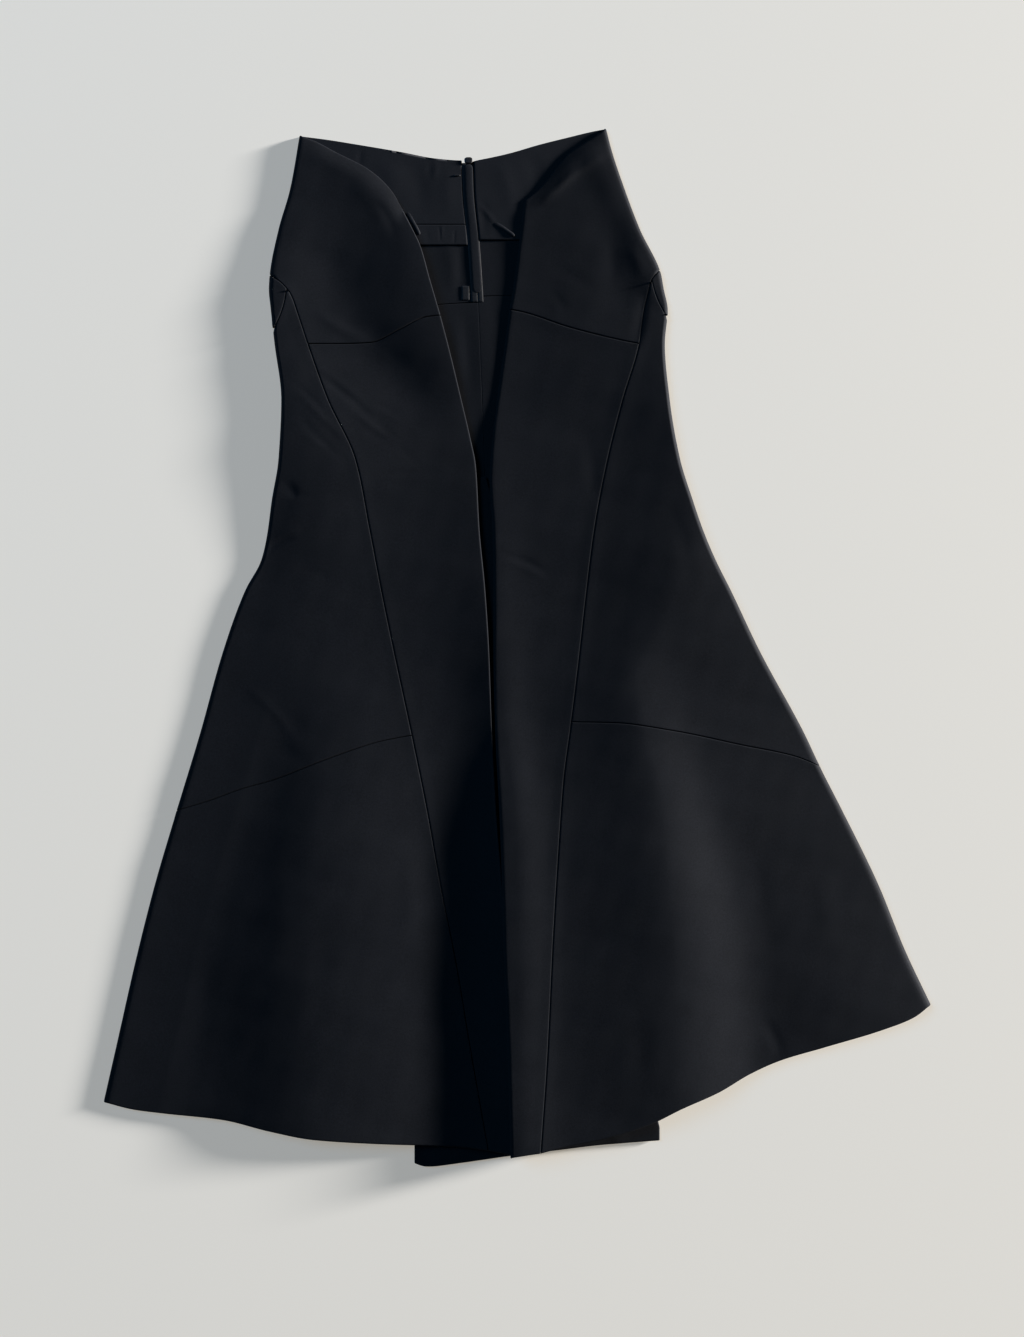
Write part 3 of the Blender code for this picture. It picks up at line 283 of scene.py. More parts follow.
# Finer creases. Columns: x and y where it starts, x and y where it ends, how far it bows to
# its left, its depth (below 0 for a trough, above 0 for a ridge) and its half-width.
CREASES_LEFT = (
    # drag lines below the hip
    (-228, 300, -118, 205, 6, -0.5, 4.5),
    (-214, 296, -140, 232, 4, 0.4, 3.5),
    (-204, 284, -150, 252, -3, -0.35, 2.5),
    (-196, 274, -132, 236, -4, -0.35, 3),
    (-190, 262, -146, 238, 2, 0.3, 2.5),
    (-186, 254, -112, 196, 3, 0.4, 4.5),
    (-178, 246, -128, 214, -2, -0.3, 2.5),
    (-176, 232, -96, 186, 5, -0.4, 4),
    (-160, 262, -108, 226, 3, -0.3, 3),
    (-150, 252, -100, 222, 2, 0.3, 3),
    (-232, 268, -176, 214, 0, 0.4, 4),
    (-230, 246, -180, 196, -3, -0.35, 4),
    (-240, 280, -204, 250, 2, -0.3, 3),
    (-236, 226, -196, 206, 2, 0.3, 3),
    # from the hip to the corner of the yoke seam
    (-212, 352, -150, 318, -3, 1.0, 6),
    (-150, 320, -98, 276, 3, -0.2, 6),
    # across the thigh
    (-145, 183, -80, 184, -2, -0.6, 3),
    (-140, 176, -84, 178, 2, 0.4, 3.5),
    # dent and crease at the side
    (-248, 170, -230, 158, 3, -1.1, 5),
    (-247, 163, -200, 160, -3, -0.8, 2.8),
    (-240, 153, -196, 156, 3, 0.5, 4),
    # fold at the step of the side
    (-263, 98, -232, 116, 4, -1.2, 3.2),
    (-256, 108, -226, 124, 3, 0.6, 4),
    (-232, 84, -196, 72, 2, -0.4, 5),
    # edge of the yoke near the V
    (-150, 468, -128, 430, 4, -0.8, 5),
    (-176, 486, -140, 446, 6, 0.6, 8),
    # line down to the knee seam
    (-293, -33, -229, -101, 4, 0.8, 5),
    (-262, -96, -216, -122, -2, -0.7, 9),
    # flare
    (-244, -220, -262, -360, 6, 0.5, 11),
    (-196, -240, -206, -400, -6, -0.5, 12),
    (-330, -300, -344, -430, 5, -0.6, 14),
    (-120, -200, -110, -330, 4, 0.4, 10),
)
CREASES_RIGHT = (
    # ridge of the waist lip, and small dents along it
    (98, 520, 24, 464, -4, 1.6, 4),
    (70, 512, 62, 494, 1, -0.35, 3.5),
    (44, 494, 36, 476, 1, -0.3, 3.5),
    (86, 522, 96, 500, 1, -0.2, 4),
    (58, 506, 50, 486, 1, 0.3, 3),
    # valley beside the hip seam
    (134, 376, 122, 312, 2, -1.8, 6),
    # yoke
    (30, 400, 84, 372, 3, -0.5, 7),
    (96, 430, 100, 380, 2, -0.6, 7),
    (118, 420, 132, 386, 2, 0.8, 6),
    (36, 372, 52, 352, 1, -0.5, 5),
    # thigh
    (-18, 97, 32, 77, 3, -0.9, 3.5),
    (-14, 90, 34, 70, 3, 0.5, 4),
    (74, 230, 86, 150, -2, -0.6, 8),
    (160, 150, 182, 60, 4, -0.5, 9),
    # flare
    (258, -388, 276, -432, 3, -0.9, 6),
    (240, -200, 262, -330, 5, -0.6, 12),
    (312, -220, 330, -330, 4, 0.5, 12),
    (120, -360, 132, -480, 3, -0.6, 12),
)
# Slow unevenness all over: rows of (wavelength, amount).
UNEVEN = ((170, 0.34), (75, 0.15), (34, 0.05))
UNEVEN_WAVES = 5
UNEVEN_SPREAD = (0.8, 1.25)  # least and most share of the wavelength
UNEVEN_SEED = 11
CREASE_SHARE = 0.45  # how much of their listed depths the creases keep
CREASE_FADE = 0.8  # how soon they deepen from their ends: 1 is as a sine

# The inside of the back, where it shows in the V: the same columns as the creases.
CREASES_BACK = (
    (-76, 440, -66, 372, 2, 0.8, 8),
    (-58, 420, -60, 366, 0, -0.5, 5),
    (-36, 366, -34, 230, 2, 1.1, 13),
    (-22, 352, -27, 262, 0, 0.5, 6),
    (-56, 356, -48, 262, 0, -0.5, 6),
    (-66, 350, -56, 270, 0, 0.5, 6),
)
CREASES_FACING_LEFT = (
    (-163, 522, -166, 502, 0, -0.5, 2.5),
    (-85, 511, -88, 488, 1, 0.35, 3),
    (-91, 509, -92, 490, 0, -0.3, 3),
    (-140, 512, -128, 470, 4, 0.8, 12),
    (-108, 508, -100, 452, 2, -0.7, 10),
    (-72, 506, -72, 450, 0, 0.5, 8),
)
CREASES_FACING_RIGHT = (
    (-40, 464, -21, 442, 0, 0.7, 2.0),
    (-36, 470, -34, 430, 0, -0.6, 5),
    (-20, 512, -6, 452, 3, 0.6, 9),
    (10, 520, 24, 480, 2, -0.5, 9),
)
CREASES_BAND = (
    (-81.4, 441, -80.4, 425, 0.4, -0.3, 1.4),
    (-78.2, 443, -79.6, 428, 0, 0.22, 1.8),
    (-65.4, 438, -66.2, 422, 0.3, -0.28, 1.3),
    (-95, 440, -92, 421, 0, -0.14, 3.0),
    (-104, 443, -101, 424, 0, 0.12, 4.0),
)
CREASES_PLEAT = (
    (-90, -528, -84, -548, 0, 0.8, 5),
    (-40, -520, -44, -545, 0, -0.5, 6),
    (100, -500, 110, -525, 0, 0.6, 7),
)

# ---------------------------------------------------------------- edges and mesh fineness

SEAM_NEAR = (0.15, 0.35, 0.7, 1.4, 2.8)  # distances of the columns beside a seam
FREE_NEAR = (0.5, 1.1, 2.0, 3.6)  # beside a hem or a waist edge
THIN_NEAR, THIN_DROP, THIN_REACH = (0.5, 1.2), 0.35, 0.9  # and beside a thin layer's edge
ROLL_ANGLES = tuple(range(15, 91, 15))
SEAM_DROP, SEAM_REACH = 1.4, 0.8  # how the cloth turns down into a seam
FREE_DROP, FREE_REACH = 0.5, 1.2
ALLOWANCE_RISE, ALLOWANCE_WIDTH = 0.12, 12.0  # the pressed seam allowance beneath
RIM_OUT = 0.3
MOST_NEAR = 0.42  # the most of a width that the close points at one end take
FINE, COARSE = 3.6, 9.0  # spacing of points on the front, and on the back where it is hidden
MIDDLE_FINE, FACING_FINE, BAND_FINE, TAPE_FINE, STAY_FINE = 5.0, 2.4, 0.8, 1.2, 1.0
LINE_STEP = 4.0
LINE_POINTS = 200  # of a side panel's long lines
HIP_SEAM_POINTS, HIP_EDGE_POINTS, HIP_CUT_POINTS = 12, 40, 20
COIL_POINTS, SLIDER_POINTS, HOOK_POINTS, CURL_POINTS = 120, 24, 16, 40
COIL_END, SLIDER_END, HOOK_END, CURL_END = 5.0, 2.5, 1.0, 4.0  # length of the tapered ends
STRIP_STEPS = 20  # round the top of a strip
STRIP_END = 0.08  # a strip's blunt ends, as a share of the taper's length
SHARP_ANGLE = 60.0
SOFT_LIMIT = 0.5
LEAST_THICKNESS = 0.3  # share of a flat layer's thickness that its troughs leave
CUT_ANGLES = range(0, 90, 2)  # tried for the smallest rectangle round a panel
SAME, NO_LENGTH = 1e-6, 1e-9

# ---------------------------------------------------------------- camera, light and colours

CAMERA_PLACE = (-0.00525, -0.02205, 1.0544)
CAMERA_LENS = 27.04
CAMERA_SENSOR = 36.0
# Lamps: rows of (name, direction it comes from, distance, size, power, colour).
LAMPS = (
    ("key", (0.95, 0.27, 0.125), 16.0, 1.7, 18500.0, (1.0, 0.96, 0.92)),
    ("fill", (-0.60, 0.45, 0.60), 8.0, 4.0, 360.0, (0.20, 0.55, 1.0)),
)
SKY_COLOUR, SKY_STRENGTH = (0.60, 0.74, 1.0), 0.03
FLOOR_SIZE = 6.0
VIEW_GAMMA = 0.8  # deepens the shadows

# Fabrics: rows of (name, colour, roughness, distance of the threads, grain's depth, gloss).
FABRICS = (
    ("crepe", (0.0138, 0.0149, 0.0177), 0.85, 0.9, 0.10, 0.08),
    ("facing", (0.0172, 0.0182, 0.0212), 0.8, 0.7, 0.07, 0.08),
    ("zip_tape", (0.017, 0.0178, 0.020), 0.6, 0.6, 0.06, 0.15),
)
MOTTLE, SPECK, WEAR = (26.0, 5.0), (700.0, 3.0), (900.0, 5.0)  # noises: scale and detail
SPECK_IN_COLOUR, SPECK_IN_GRAIN = 0.72, 0.5  # share of the specks, beside mottling and threads
# Where in the noise a colour ends, and the share of the colour there: dark, then light.
CLOTH_SHADES = ((0.32, 0.80), (0.68, 1.22))
METAL_SHADES = ((0.45, 1.0), (0.75, 2.2))
METAL = (0.028, 0.028, 0.03)
FLOOR = (0.333, 0.328, 0.316)
FLOOR_GLOW = (0.404, 0.3785, 0.332)  # light from all round that fills the shadows on the floor


# ---------------------------------------------------------------- lines in plan


def smooth(rows):
    """A smooth curve through a table's rows that never swings past them."""
    keys, values = np.array(rows, float).T
    if keys[0] > keys[-1]:
        keys, values = keys[::-1], values[::-1]
    step = np.diff(keys)
    rate = np.diff(values) / step
    slope = np.zeros(len(keys))
    slope[0], slope[-1] = rate[0], rate[-1]
    same = rate[:-1] * rate[1:] > 0
    before, after = 2 * step[1:] + step[:-1], step[1:] + 2 * step[:-1]
    steady = np.where(same, rate[:-1], 1), np.where(same, rate[1:], 1)
    mean = (before + after) / (before / steady[0] + after / steady[1])
    slope[1:-1] = np.where(same, mean, 0)

    def value(at):
        at = np.clip(at, keys[0], keys[-1])
        i = np.clip(np.searchsorted(keys, at) - 1, 0, len(step) - 1)
        t = (at - keys[i]) / step[i]
        rise = (1 + 2 * t) * (1 - t) ** 2 * values[i] + t * t * (3 - 2 * t) * values[i + 1]
        return rise + step[i] * t * (1 - t) * ((1 - t) * slope[i] - t * slope[i + 1])

    return value


def down_line(rows, top=None, bottom=None):
    """Points along a waist-to-hem line, from level top down to level bottom."""
    top = rows[0][0] if top is None else top
    bottom = rows[-1][0] if bottom is None else bottom
    y = np.linspace(top, bottom, 2 + int((top - bottom) / LINE_STEP))
    return np.stack([smooth(rows)(y), y], axis=1)


def cross_line(rows):
    """Points along a line that runs from left to right."""
    x = np.linspace(rows[0][0], rows[-1][0], 2 + int((rows[-1][0] - rows[0][0]) / LINE_STEP))
    return np.stack([x, smooth(rows)(x)], axis=1)


def along(line):
    """How far along the line each of its points is, from 0 to 1."""
    length = np.concatenate([[0], np.cumsum(np.linalg.norm(np.diff(line, axis=0), axis=1))])
    return length / length[-1]


def at_share(line, share):
    where = along(line)
    return np.stack([np.interp(share, where, line[:, k]) for k in range(2)], axis=-1)


def evenly(line, count):
    return at_share(line, np.linspace(0, 1, count))


def joined(*lines):
    """Lines end to end, each shared end kept once."""
    return np.concatenate([lines[0]] + [line[1:] for line in lines[1:]])


def length_of(line):
    return float(np.linalg.norm(np.diff(line, axis=0), axis=1).sum())


def straight(a, b):
    return np.array([a, b], float)


def cut(line, low, high):
    """The stretch of a left-to-right line between two places."""
    x = line[:, 0]
    inside = line[(x > low) & (x < high)]
    ends = [[at, np.interp(at, x, line[:, 1])] for at in (low, high)]
    return np.concatenate([ends[:1], inside, ends[1:]])


def to_line(points, line):
    """Distance from each point to a line, more than 0 on the line's left."""
    best = np.full(points.shape[:-1], np.inf)
    for start, step in zip(line[:-1], np.diff(line, axis=0)):
        off = points - start
        t = np.clip((off @ step) / (step @ step), 0, 1)
        far = np.linalg.norm(off - t[..., None] * step, axis=-1)
        far *= np.where(step[0] * off[..., 1] < step[1] * off[..., 0], -1, 1)
        best = np.where(abs(far) < abs(best), far, best)
    return best


def pulled_in(sides, insets):
    """The sides of a closed outline, moved inwards; an outline runs anticlockwise."""
    moved = []
    for side, inset in zip(sides, insets):
        heading = np.diff(side, axis=0)
        heading /= np.linalg.norm(heading, axis=1)[:, None]
        inward = np.stack([-heading[:, 1], heading[:, 0]], axis=1)
        at_point = np.concatenate([inward[:1], inward[:-1] + inward[1:], inward[-1:]])
        at_point /= np.linalg.norm(at_point, axis=1)[:, None]
        moved.append(side + np.broadcast_to(inset, len(side))[:, None] * at_point)
    for i, side in enumerate(moved):
        other = moved[(i + 1) % len(moved)]
        if np.linalg.norm(side[-1] - other[0]) > SAME:
            side[-1] = crossing(side[-2], side[-1], other[0], other[1])
        other[0] = side[-1]
    return moved


def crossing(a, b, c, d):
    """Where the line through a and b meets the line through c and d."""
    first, second = b - a, d - c
    turn = first[0] * second[1] - first[1] * second[0]
    t = ((c - a)[0] * second[1] - (c - a)[1] * second[0]) / turn
    return a + t * first


# ---------------------------------------------------------------- the way the cloth lies


def rounding(distance, width):
    """A quarter of an ellipse: 0 at the edge, 1 from width inwards."""
    return np.sqrt(1 - (1 - np.clip(distance / width, 0, 1)) ** 2)


def fold_rise(points, fold):
    """The rise of a fold that runs down the skirt, as its table's rows say."""
    flat, rows = fold
    level, *columns = zip(*rows)
    x, rise, left, right = (smooth(list(zip(level, c)))(points[..., 1]) for c in columns)
    away = points[..., 0] - x
    return rise * np.exp(-(abs(away / np.where(away < 0, left, right)) ** flat))


def crease(points, row):
    """A shallow trough or ridge that fades out at its ends."""
    x0, y0, x1, y1, bow, depth, half = row
    start, run = np.array([x0, y0], float), np.array([x1 - x0, y1 - y0], float)
    length = np.linalg.norm(run)
    run /= length
    off = points - start
    t = (off @ run) / length
    away = off @ np.array([-run[1], run[0]]) - bow * 4 * t * (1 - t)
    fade = np.sin(math.pi * np.clip(t, 0, 1)) ** CREASE_FADE
    return depth * fade * np.exp(-((away / half) ** 2))


def creased(points, rows):
    return CREASE_SHARE * sum(crease(points, row) for row in rows)


def uneven(points):
    """Slow waves in many directions, so that no stretch of cloth is quite flat."""
    random = np.random.default_rng(UNEVEN_SEED)
    total = np.zeros(points.shape[:-1])
    for length, amount in UNEVEN:
        for _ in range(UNEVEN_WAVES):
            angle, phase = random.uniform(0, 2 * math.pi, 2)
            wave = 2 * math.pi / (length * random.uniform(*UNEVEN_SPREAD))
            across = math.cos(angle) * points[..., 0] + math.sin(angle) * points[..., 1]
            total += amount / math.sqrt(UNEVEN_WAVES) * np.sin(wave * across + phase)
    return total


def at_least(height, least):
    """The height, held softly above its least value."""
    return least + SOFT_LIMIT * np.logaddexp(0, (height - least) / SOFT_LIMIT)


class Front:
    """One half of the front: its lines, and how high it lies at each point."""

    def __init__(self, side, front, waist, folds, creases, levels, roll, outward):
        self.side = down_line(side)
        self.front = down_line(front)
        self.waist = cross_line(waist)
        self.folds = folds
        self.creases = creases
        self.levels = levels
        self.roll = roll  # width of the rounding at the centre front edge
        self.outward = outward  # -1 where the side edge faces left, 1 where it faces right

    def height(self, points):
        y = points[..., 1]
        top = LIE + sum(fold_rise(points, fold) for fold in self.folds)
        top += creased(points, self.creases) + uneven(points)
        from_side = to_line(points, self.side) * -self.outward
        from_front = to_line(points, self.front) * self.outward
        from_waist = abs(to_line(points, self.waist))
        dip = WAIST_DIP * (1 - np.clip(from_waist / WAIST_LIP, 0, 1)) ** 2
        levels, middle, side = np.transpose(LEAST_TOPS)
        share = np.clip(from_side / NEAR_SIDE, 0, 1) ** 2
        least = share * np.interp(y, levels, middle) + (1 - share) * np.interp(y, levels, side)
        top = at_least(top - dip * np.clip(from_side / DIP_FADE, 0, 1), least)
        roll = np.interp(y, SIDE_ROLL_LEVELS[::-1], [SIDE_ROLL_HEM, SIDE_ROLL_HIP])
        top = top * rounding(from_side, roll)
        low = self.least(points)
        at_edge = low + (top - low) * rounding(from_front, self.roll)
        return np.where(from_front < self.roll, np.maximum(at_edge, low), top)

    def least(self, points):
        """How high the centre front edge lies at the points' levels."""
        return np.interp(points[..., 1], *np.transpose(self.levels))

    def under(self, points, lower):
        """Keeps the inner face above what it lies on."""
        from_front = to_line(points, self.front) * self.outward
        floor = np.where(from_front < UNDER_ROLL * self.roll, self.least(points), 0)
        return np.maximum(lower, floor)


def drawn_in(points, height):
    """The plan of raised points, which is smaller so that they're seen in their places."""
    keep = 1 - np.clip(height - DRAW_FROM, 0, None) * DRAW_IN
    return np.array(MIDDLE) + (points - MIDDLE) * keep[..., None]


# ---------------------------------------------------------------- grids and shells


class Edge:
    """How a panel ends on one side: where its columns lie, and how it turns down there."""

    def __init__(self, near, drop=0.0, reach=1.0, allowance=0.0, inset=0.0):
        self.near = np.array(near, float)
        self.drop, self.reach = drop, reach
        self.allowance = allowance
        self.inset = inset

    def relief(self, distance):
        turned = self.drop * (1 - rounding(distance, self.reach))
        share = np.clip(distance / ALLOWANCE_WIDTH, 0, 1)
        return self.allowance * (1 - share**2) ** 2 - turned


def rolled(width):
    return width * (1 - np.cos(np.radians(ROLL_ANGLES)))


# How far the cloth turns down, over what width, the rise of the allowance, and the inset.
SEAM = Edge(SEAM_NEAR, SEAM_DROP, SEAM_REACH, ALLOWANCE_RISE, SEAM_GAP / 2)
BACK_SEAM = Edge(SEAM_NEAR, 0.15, 0.6, 0.0, 0.05)
BACK_YOKE_SEAM = Edge(SEAM_NEAR, 1.0, 0.9, 0.0, SEAM_GAP / 2)
FREE = Edge(FREE_NEAR, FREE_DROP, FREE_REACH)
SIDE = Edge(rolled(SIDE_ROLL_HIP))
SIDE_SEAM = Edge(rolled(SIDE_ROLL_HIP), SEAM_DROP, SEAM_REACH, ALLOWANCE_RISE)
OPEN_FRONT = Edge(rolled(FRONT_ROLL_RIGHT), 0.3, 1.0)
BACK_SIDE = Edge(FREE_NEAR, 0.3, 1.0, 0.0, BACK_INSET)
BACK_HEM = Edge(FREE_NEAR, 0.3, 1.0, 0.0, BACK_HEM_LIFT)
THIN = Edge(THIN_NEAR, THIN_DROP, THIN_REACH)
FACING_SIDE = Edge(THIN_NEAR, THIN_DROP, THIN_REACH, 0.0, FACING_INSET)
FACING_WAIST = Edge(THIN_NEAR, THIN_DROP, THIN_REACH, 0.0, FACING_STEP)
TAPE_EDGE = Edge((0.5, 1.2, 2.0), 0.38, 2.0)


def spread(width, first, last, steps):
    """Shares of a width: as close together as listed at both ends, and even between them."""
    start = first * min(1, MOST_NEAR * width / first[-1])
    end = last * min(1, MOST_NEAR * width / last[-1])
    middle = np.linspace(start[-1], width - end[-1], steps + 1)
    return np.concatenate([[0], start[:-1], middle, width - end[-2::-1], [width]]) / width


def snapped(shares, corners):
    """The shares, with the nearest one moved to each corner."""
    shares = shares.copy()
    for corner in corners:
        shares[np.argmin(abs(shares - corner))] = corner
    return shares


def plan_grid(lines, edges, spacing, corners=()):
    """Points of a four-sided panel: rows from its top line to its bottom line."""
    left, right, top, bottom = lines
    at_left, at_right, at_top, at_bottom = edges
    halfway = np.linalg.norm(left[len(left) // 2] - right[len(right) // 2])
    across = max(length_of(top), length_of(bottom), halfway)
    columns = max(1, round(across / spacing))
    down = length_of(left), length_of(right)
    near = at_top.near + at_top.inset, at_bottom.near + at_bottom.inset
    rows = spread(min(down), *near, max(1, round(max(down) / spacing)))
    rows = snapped(rows, corners)
    near = at_left.near, at_right.near
    top = at_share(top, spread(length_of(top), *near, columns))
    bottom = at_share(bottom, spread(length_of(bottom), *near, columns))
    left, right = at_share(left, rows), at_share(right, rows)
    insets = (at_left.inset, at_bottom.inset, at_right.inset, at_top.inset)
    sides = pulled_in([left, bottom, right[::-1], top[::-1]], insets)
    left, bottom, right, top = sides[0], sides[1], sides[2][::-1], sides[3][::-1]
    grid = np.zeros((len(left), len(top), 2))
    for i, t in enumerate(rows):
        width = float(np.linalg.norm(right[i] - left[i]))
        s = spread(width, *near, columns)
        if i == 0:
            s = along(top)
        elif i == len(left) - 1:
            s = along(bottom)
        s = s[:, None]
        ends = (1 - s) * left[i] + s * right[i]
        between = (1 - t) * at_share(top, s[:, 0]) + t * at_share(bottom, s[:, 0])
        upper = (1 - s) * top[0] + s * top[-1]
        lower = (1 - s) * bottom[0] + s * bottom[-1]
        grid[i] = ends + between - (1 - t) * upper - t * lower
    return grid


def distances(grid):
    """How far each point lies from its grid's left, right, top and bottom edges."""
    step = np.linalg.norm(np.diff(grid, axis=1), axis=2)
    left = np.concatenate([np.zeros((len(grid), 1)), np.cumsum(step, axis=1)], axis=1)
    fall = np.linalg.norm(np.diff(grid, axis=0), axis=2)
    top = np.concatenate([np.zeros((1, grid.shape[1])), np.cumsum(fall, axis=0)], axis=0)
    return left, left[:, -1:] - left, top, top[-1:] - top


def facing_out(grid):
    down, right = np.gradient(grid, axis=0), np.gradient(grid, axis=1)
    out = np.cross(down, right)
    return out / np.maximum(np.linalg.norm(out, axis=-1), NO_LENGTH)[..., None]


def raised(plan, height):
    """The points of a plan at a height."""
    height = np.broadcast_to(height, plan.shape[:-1])
    return np.concatenate([plan, height[..., None]], axis=-1)


def rim(grid):
    """A grid's outermost entries, once round."""
    return np.concatenate([grid[:, 0], grid[-1, 1:], grid[-2::-1, -1], grid[0, -2:0:-1]])


def shell(name, outer, inner, material):
    """A closed wall between two grids, with a rim that bulges a little."""
    rows, columns = outer.shape[:2]
    index = np.arange(rows * columns).reshape(rows, columns)
    ring = rim(index)
    upper, lower = outer.reshape(-1, 3), inner.reshape(-1, 3)
    middle = (upper[ring] + lower[ring]) / 2
    heading = np.roll(middle, -1, axis=0) - np.roll(middle, 1, axis=0)
    thick = upper[ring] - lower[ring]
    away = np.cross(thick, heading)
    away /= np.maximum(np.linalg.norm(away, axis=1), NO_LENGTH)[:, None]
    middle += -away * RIM_OUT * np.linalg.norm(thick, axis=1)[:, None]
    points = np.concatenate([upper, lower, middle])
    a, b, c, d = index[:-1, :-1], index[1:, :-1], index[1:, 1:], index[:-1, 1:]
    quads = [np.stack([a, b, c, d], axis=-1).reshape(-1, 4)]
    quads.append(quads[0][:, ::-1] + rows * columns)
    edge = 2 * rows * columns + np.arange(len(ring))
    after, edge_after = np.roll(ring, -1), np.roll(edge, -1)
    quads.append(np.stack([ring, edge, edge_after, after], axis=-1))
    low, low_after = ring + rows * columns, after + rows * columns
    quads.append(np.stack([edge, low, low_after, edge_after], axis=-1))
    return mesh_piece(name, points, np.concatenate(quads).tolist(), material)


def mesh_piece(name, points, faces, material):
    """A smooth-shaded object of points in millimetres."""
    data = bpy.data.meshes.new(name)
    data.from_pydata((points * MM).tolist(), [], faces)
    data.shade_smooth()
    data.materials.append(material)
    made = bpy.data.objects.new(name, data)
    bpy.context.scene.collection.objects.link(made)
    return made


def cut_size(cloth_grid):
    """Width, length and area in metres of the flat pattern that the cloth was cut from.

    Its rectangle is the smallest one round the plan, grown as much as the folds take up.
    """
    down, across = np.diff(cloth_grid, axis=0)[:, :-1], np.diff(cloth_grid, axis=1)[:-1]
    area = np.linalg.norm(np.cross(down, across), axis=-1).sum()
    outline = rim(cloth_grid[..., :2])
    x, y = outline.T
    in_plan = abs(np.dot(x, np.roll(y, -1)) - np.dot(y, np.roll(x, -1))) / 2
    best = None
    for angle in np.radians(CUT_ANGLES):
        turn = np.array([[math.cos(angle), -math.sin(angle)], [math.sin(angle), math.cos(angle)]])
        size = np.ptp(outline @ turn, axis=0)
        if best is None or size.prod() < best.prod():
            best = size
    best = best * math.sqrt(area / in_plan)
    return tuple(sorted(best * MM)), area * MM * MM


def cloth(node, grid, outer, inner, material, slot, rests_on):
    """Makes a sheet of cloth that stands for a node."""
    made = shell(f"{node}_cloth", outer, inner, material)
    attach(made, "root")
    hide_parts(node)
    flat, area = cut_size(grid)


def trim(made, node):
    """Makes a piece that isn't a sheet stand for a node."""
    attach(made, "root")
    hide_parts(node)


# ---------------------------------------------------------------- materials


def new_material(name):
    """A material, its nodes and its shader."""
    made = bpy.data.materials.new(name)
    made.use_nodes = True
    return made, made.node_tree, made.node_tree.nodes["Principled BSDF"]


def node(tree, kind, output, inputs, **settings):
    """Adds a shader node with its inputs set or linked, and gives its output."""
    made = tree.nodes.new(kind)
    for key, value in settings.items():
        setattr(made, key, value)
    for key, value in inputs.items():
        if isinstance(value, bpy.types.NodeSocket):
            tree.links.new(value, made.inputs[key])
        else:
            made.inputs[key].default_value = value
    return made.outputs[output]


def on_object(tree):
    return node(tree, "ShaderNodeTexCoord", "Object", {})


def noise(tree, place, scale, detail):
    inputs = {"Vector": place, "Scale": scale, "Detail": detail}
    return node(tree, "ShaderNodeTexNoise", "Fac", inputs)


def mixed(tree, share, one, other):
    inputs = {"Factor": share, "A": one, "B": other}
    return node(tree, "ShaderNodeMix", "Result", inputs, data_type="FLOAT")


def shades(tree, value, colour, stops):
    """Runs from a dark shade of the colour to a light one, as the value rises."""
    ramp = tree.nodes.new("ShaderNodeValToRGB")
    tree.links.new(value, ramp.inputs["Fac"])
    for element, (position, share) in zip(ramp.color_ramp.elements, stops):
        element.position = position
        element.color = (*[share * c for c in colour], 1)
    return ramp.outputs["Color"]


def weave_height(tree, place, pitch):
    """Crossed threads, a pitch apart in millimetres, as a height from 0 to 1."""
    inputs = {
        "Vector": place,
        "Scale": 1 / (pitch * MM) * math.pi / 10,  # bands are pi / 10 apart at scale 1
        "Distortion": 1.6,
        "Detail": 2.0,
        "Detail Scale": 2.5,
    }
    heights = [
        node(tree, "ShaderNodeTexWave", "Fac", inputs, bands_direction=direction)
        for direction in ("X", "Y")
    ]
    return node(tree, "ShaderNodeMath", 0, dict(enumerate(heights)), operation="MULTIPLY")


def fabric(name, colour, roughness, pitch, depth, specular):
    """Woven cloth: mottled colour, uneven roughness, dry grain and crossed threads."""
    made, tree, shader = new_material(name)
    place = on_object(tree)
    mottle, speck = noise(tree, place, *MOTTLE), noise(tree, place, *SPECK)
    threads = weave_height(tree, place, pitch)
    tint = shades(tree, mixed(tree, SPECK_IN_COLOUR, mottle, speck), colour, CLOTH_SHADES)
    inputs = {
        "Value": mottle, "From Min": 0.3, "From Max": 0.7,
        "To Min": roughness - 0.05, "To Max": roughness + 0.05,
    }
    rough = node(tree, "ShaderNodeMapRange", "Result", inputs)
    height = mixed(tree, SPECK_IN_GRAIN, threads, speck)
    inputs = {"Height": height, "Strength": 0.8, "Distance": depth * MM}
    bump = node(tree, "ShaderNodeBump", "Normal", inputs)
    for socket, key in ((tint, "Base Color"), (rough, "Roughness"), (bump, "Normal")):
        tree.links.new(socket, shader.inputs[key])
    shader.inputs["Specular IOR Level"].default_value = specular
    return made


def lacquer(name, colour):
    """Black lacquered metal with faint wear."""
    made, tree, shader = new_material(name)
    wear = noise(tree, on_object(tree), *WEAR)
    tint = shades(tree, wear, colour, METAL_SHADES)
    inputs = {"Value": wear, "To Min": 0.3, "To Max": 0.55}
    rough = node(tree, "ShaderNodeMapRange", "Result", inputs)
    for socket, key in ((tint, "Base Color"), (rough, "Roughness")):
        tree.links.new(socket, shader.inputs[key])
    shader.inputs["Metallic"].default_value = 0.5
    return made


def floor_material():
    made, _, shader = new_material("floor")
    for key, value in (
        ("Base Color", (*FLOOR, 1)), ("Roughness", 0.9), ("Specular IOR Level", 0.1),
        ("Emission Color", (*FLOOR_GLOW, 1)), ("Emission Strength", 1.0),
    ):
        shader.inputs[key].default_value = value
    return made


# ---------------------------------------------------------------- front


def ordered(mirrored, outside, inside):
    """From left to right: on the right half, the inside comes first."""
    return (inside, outside) if mirrored else (outside, inside)


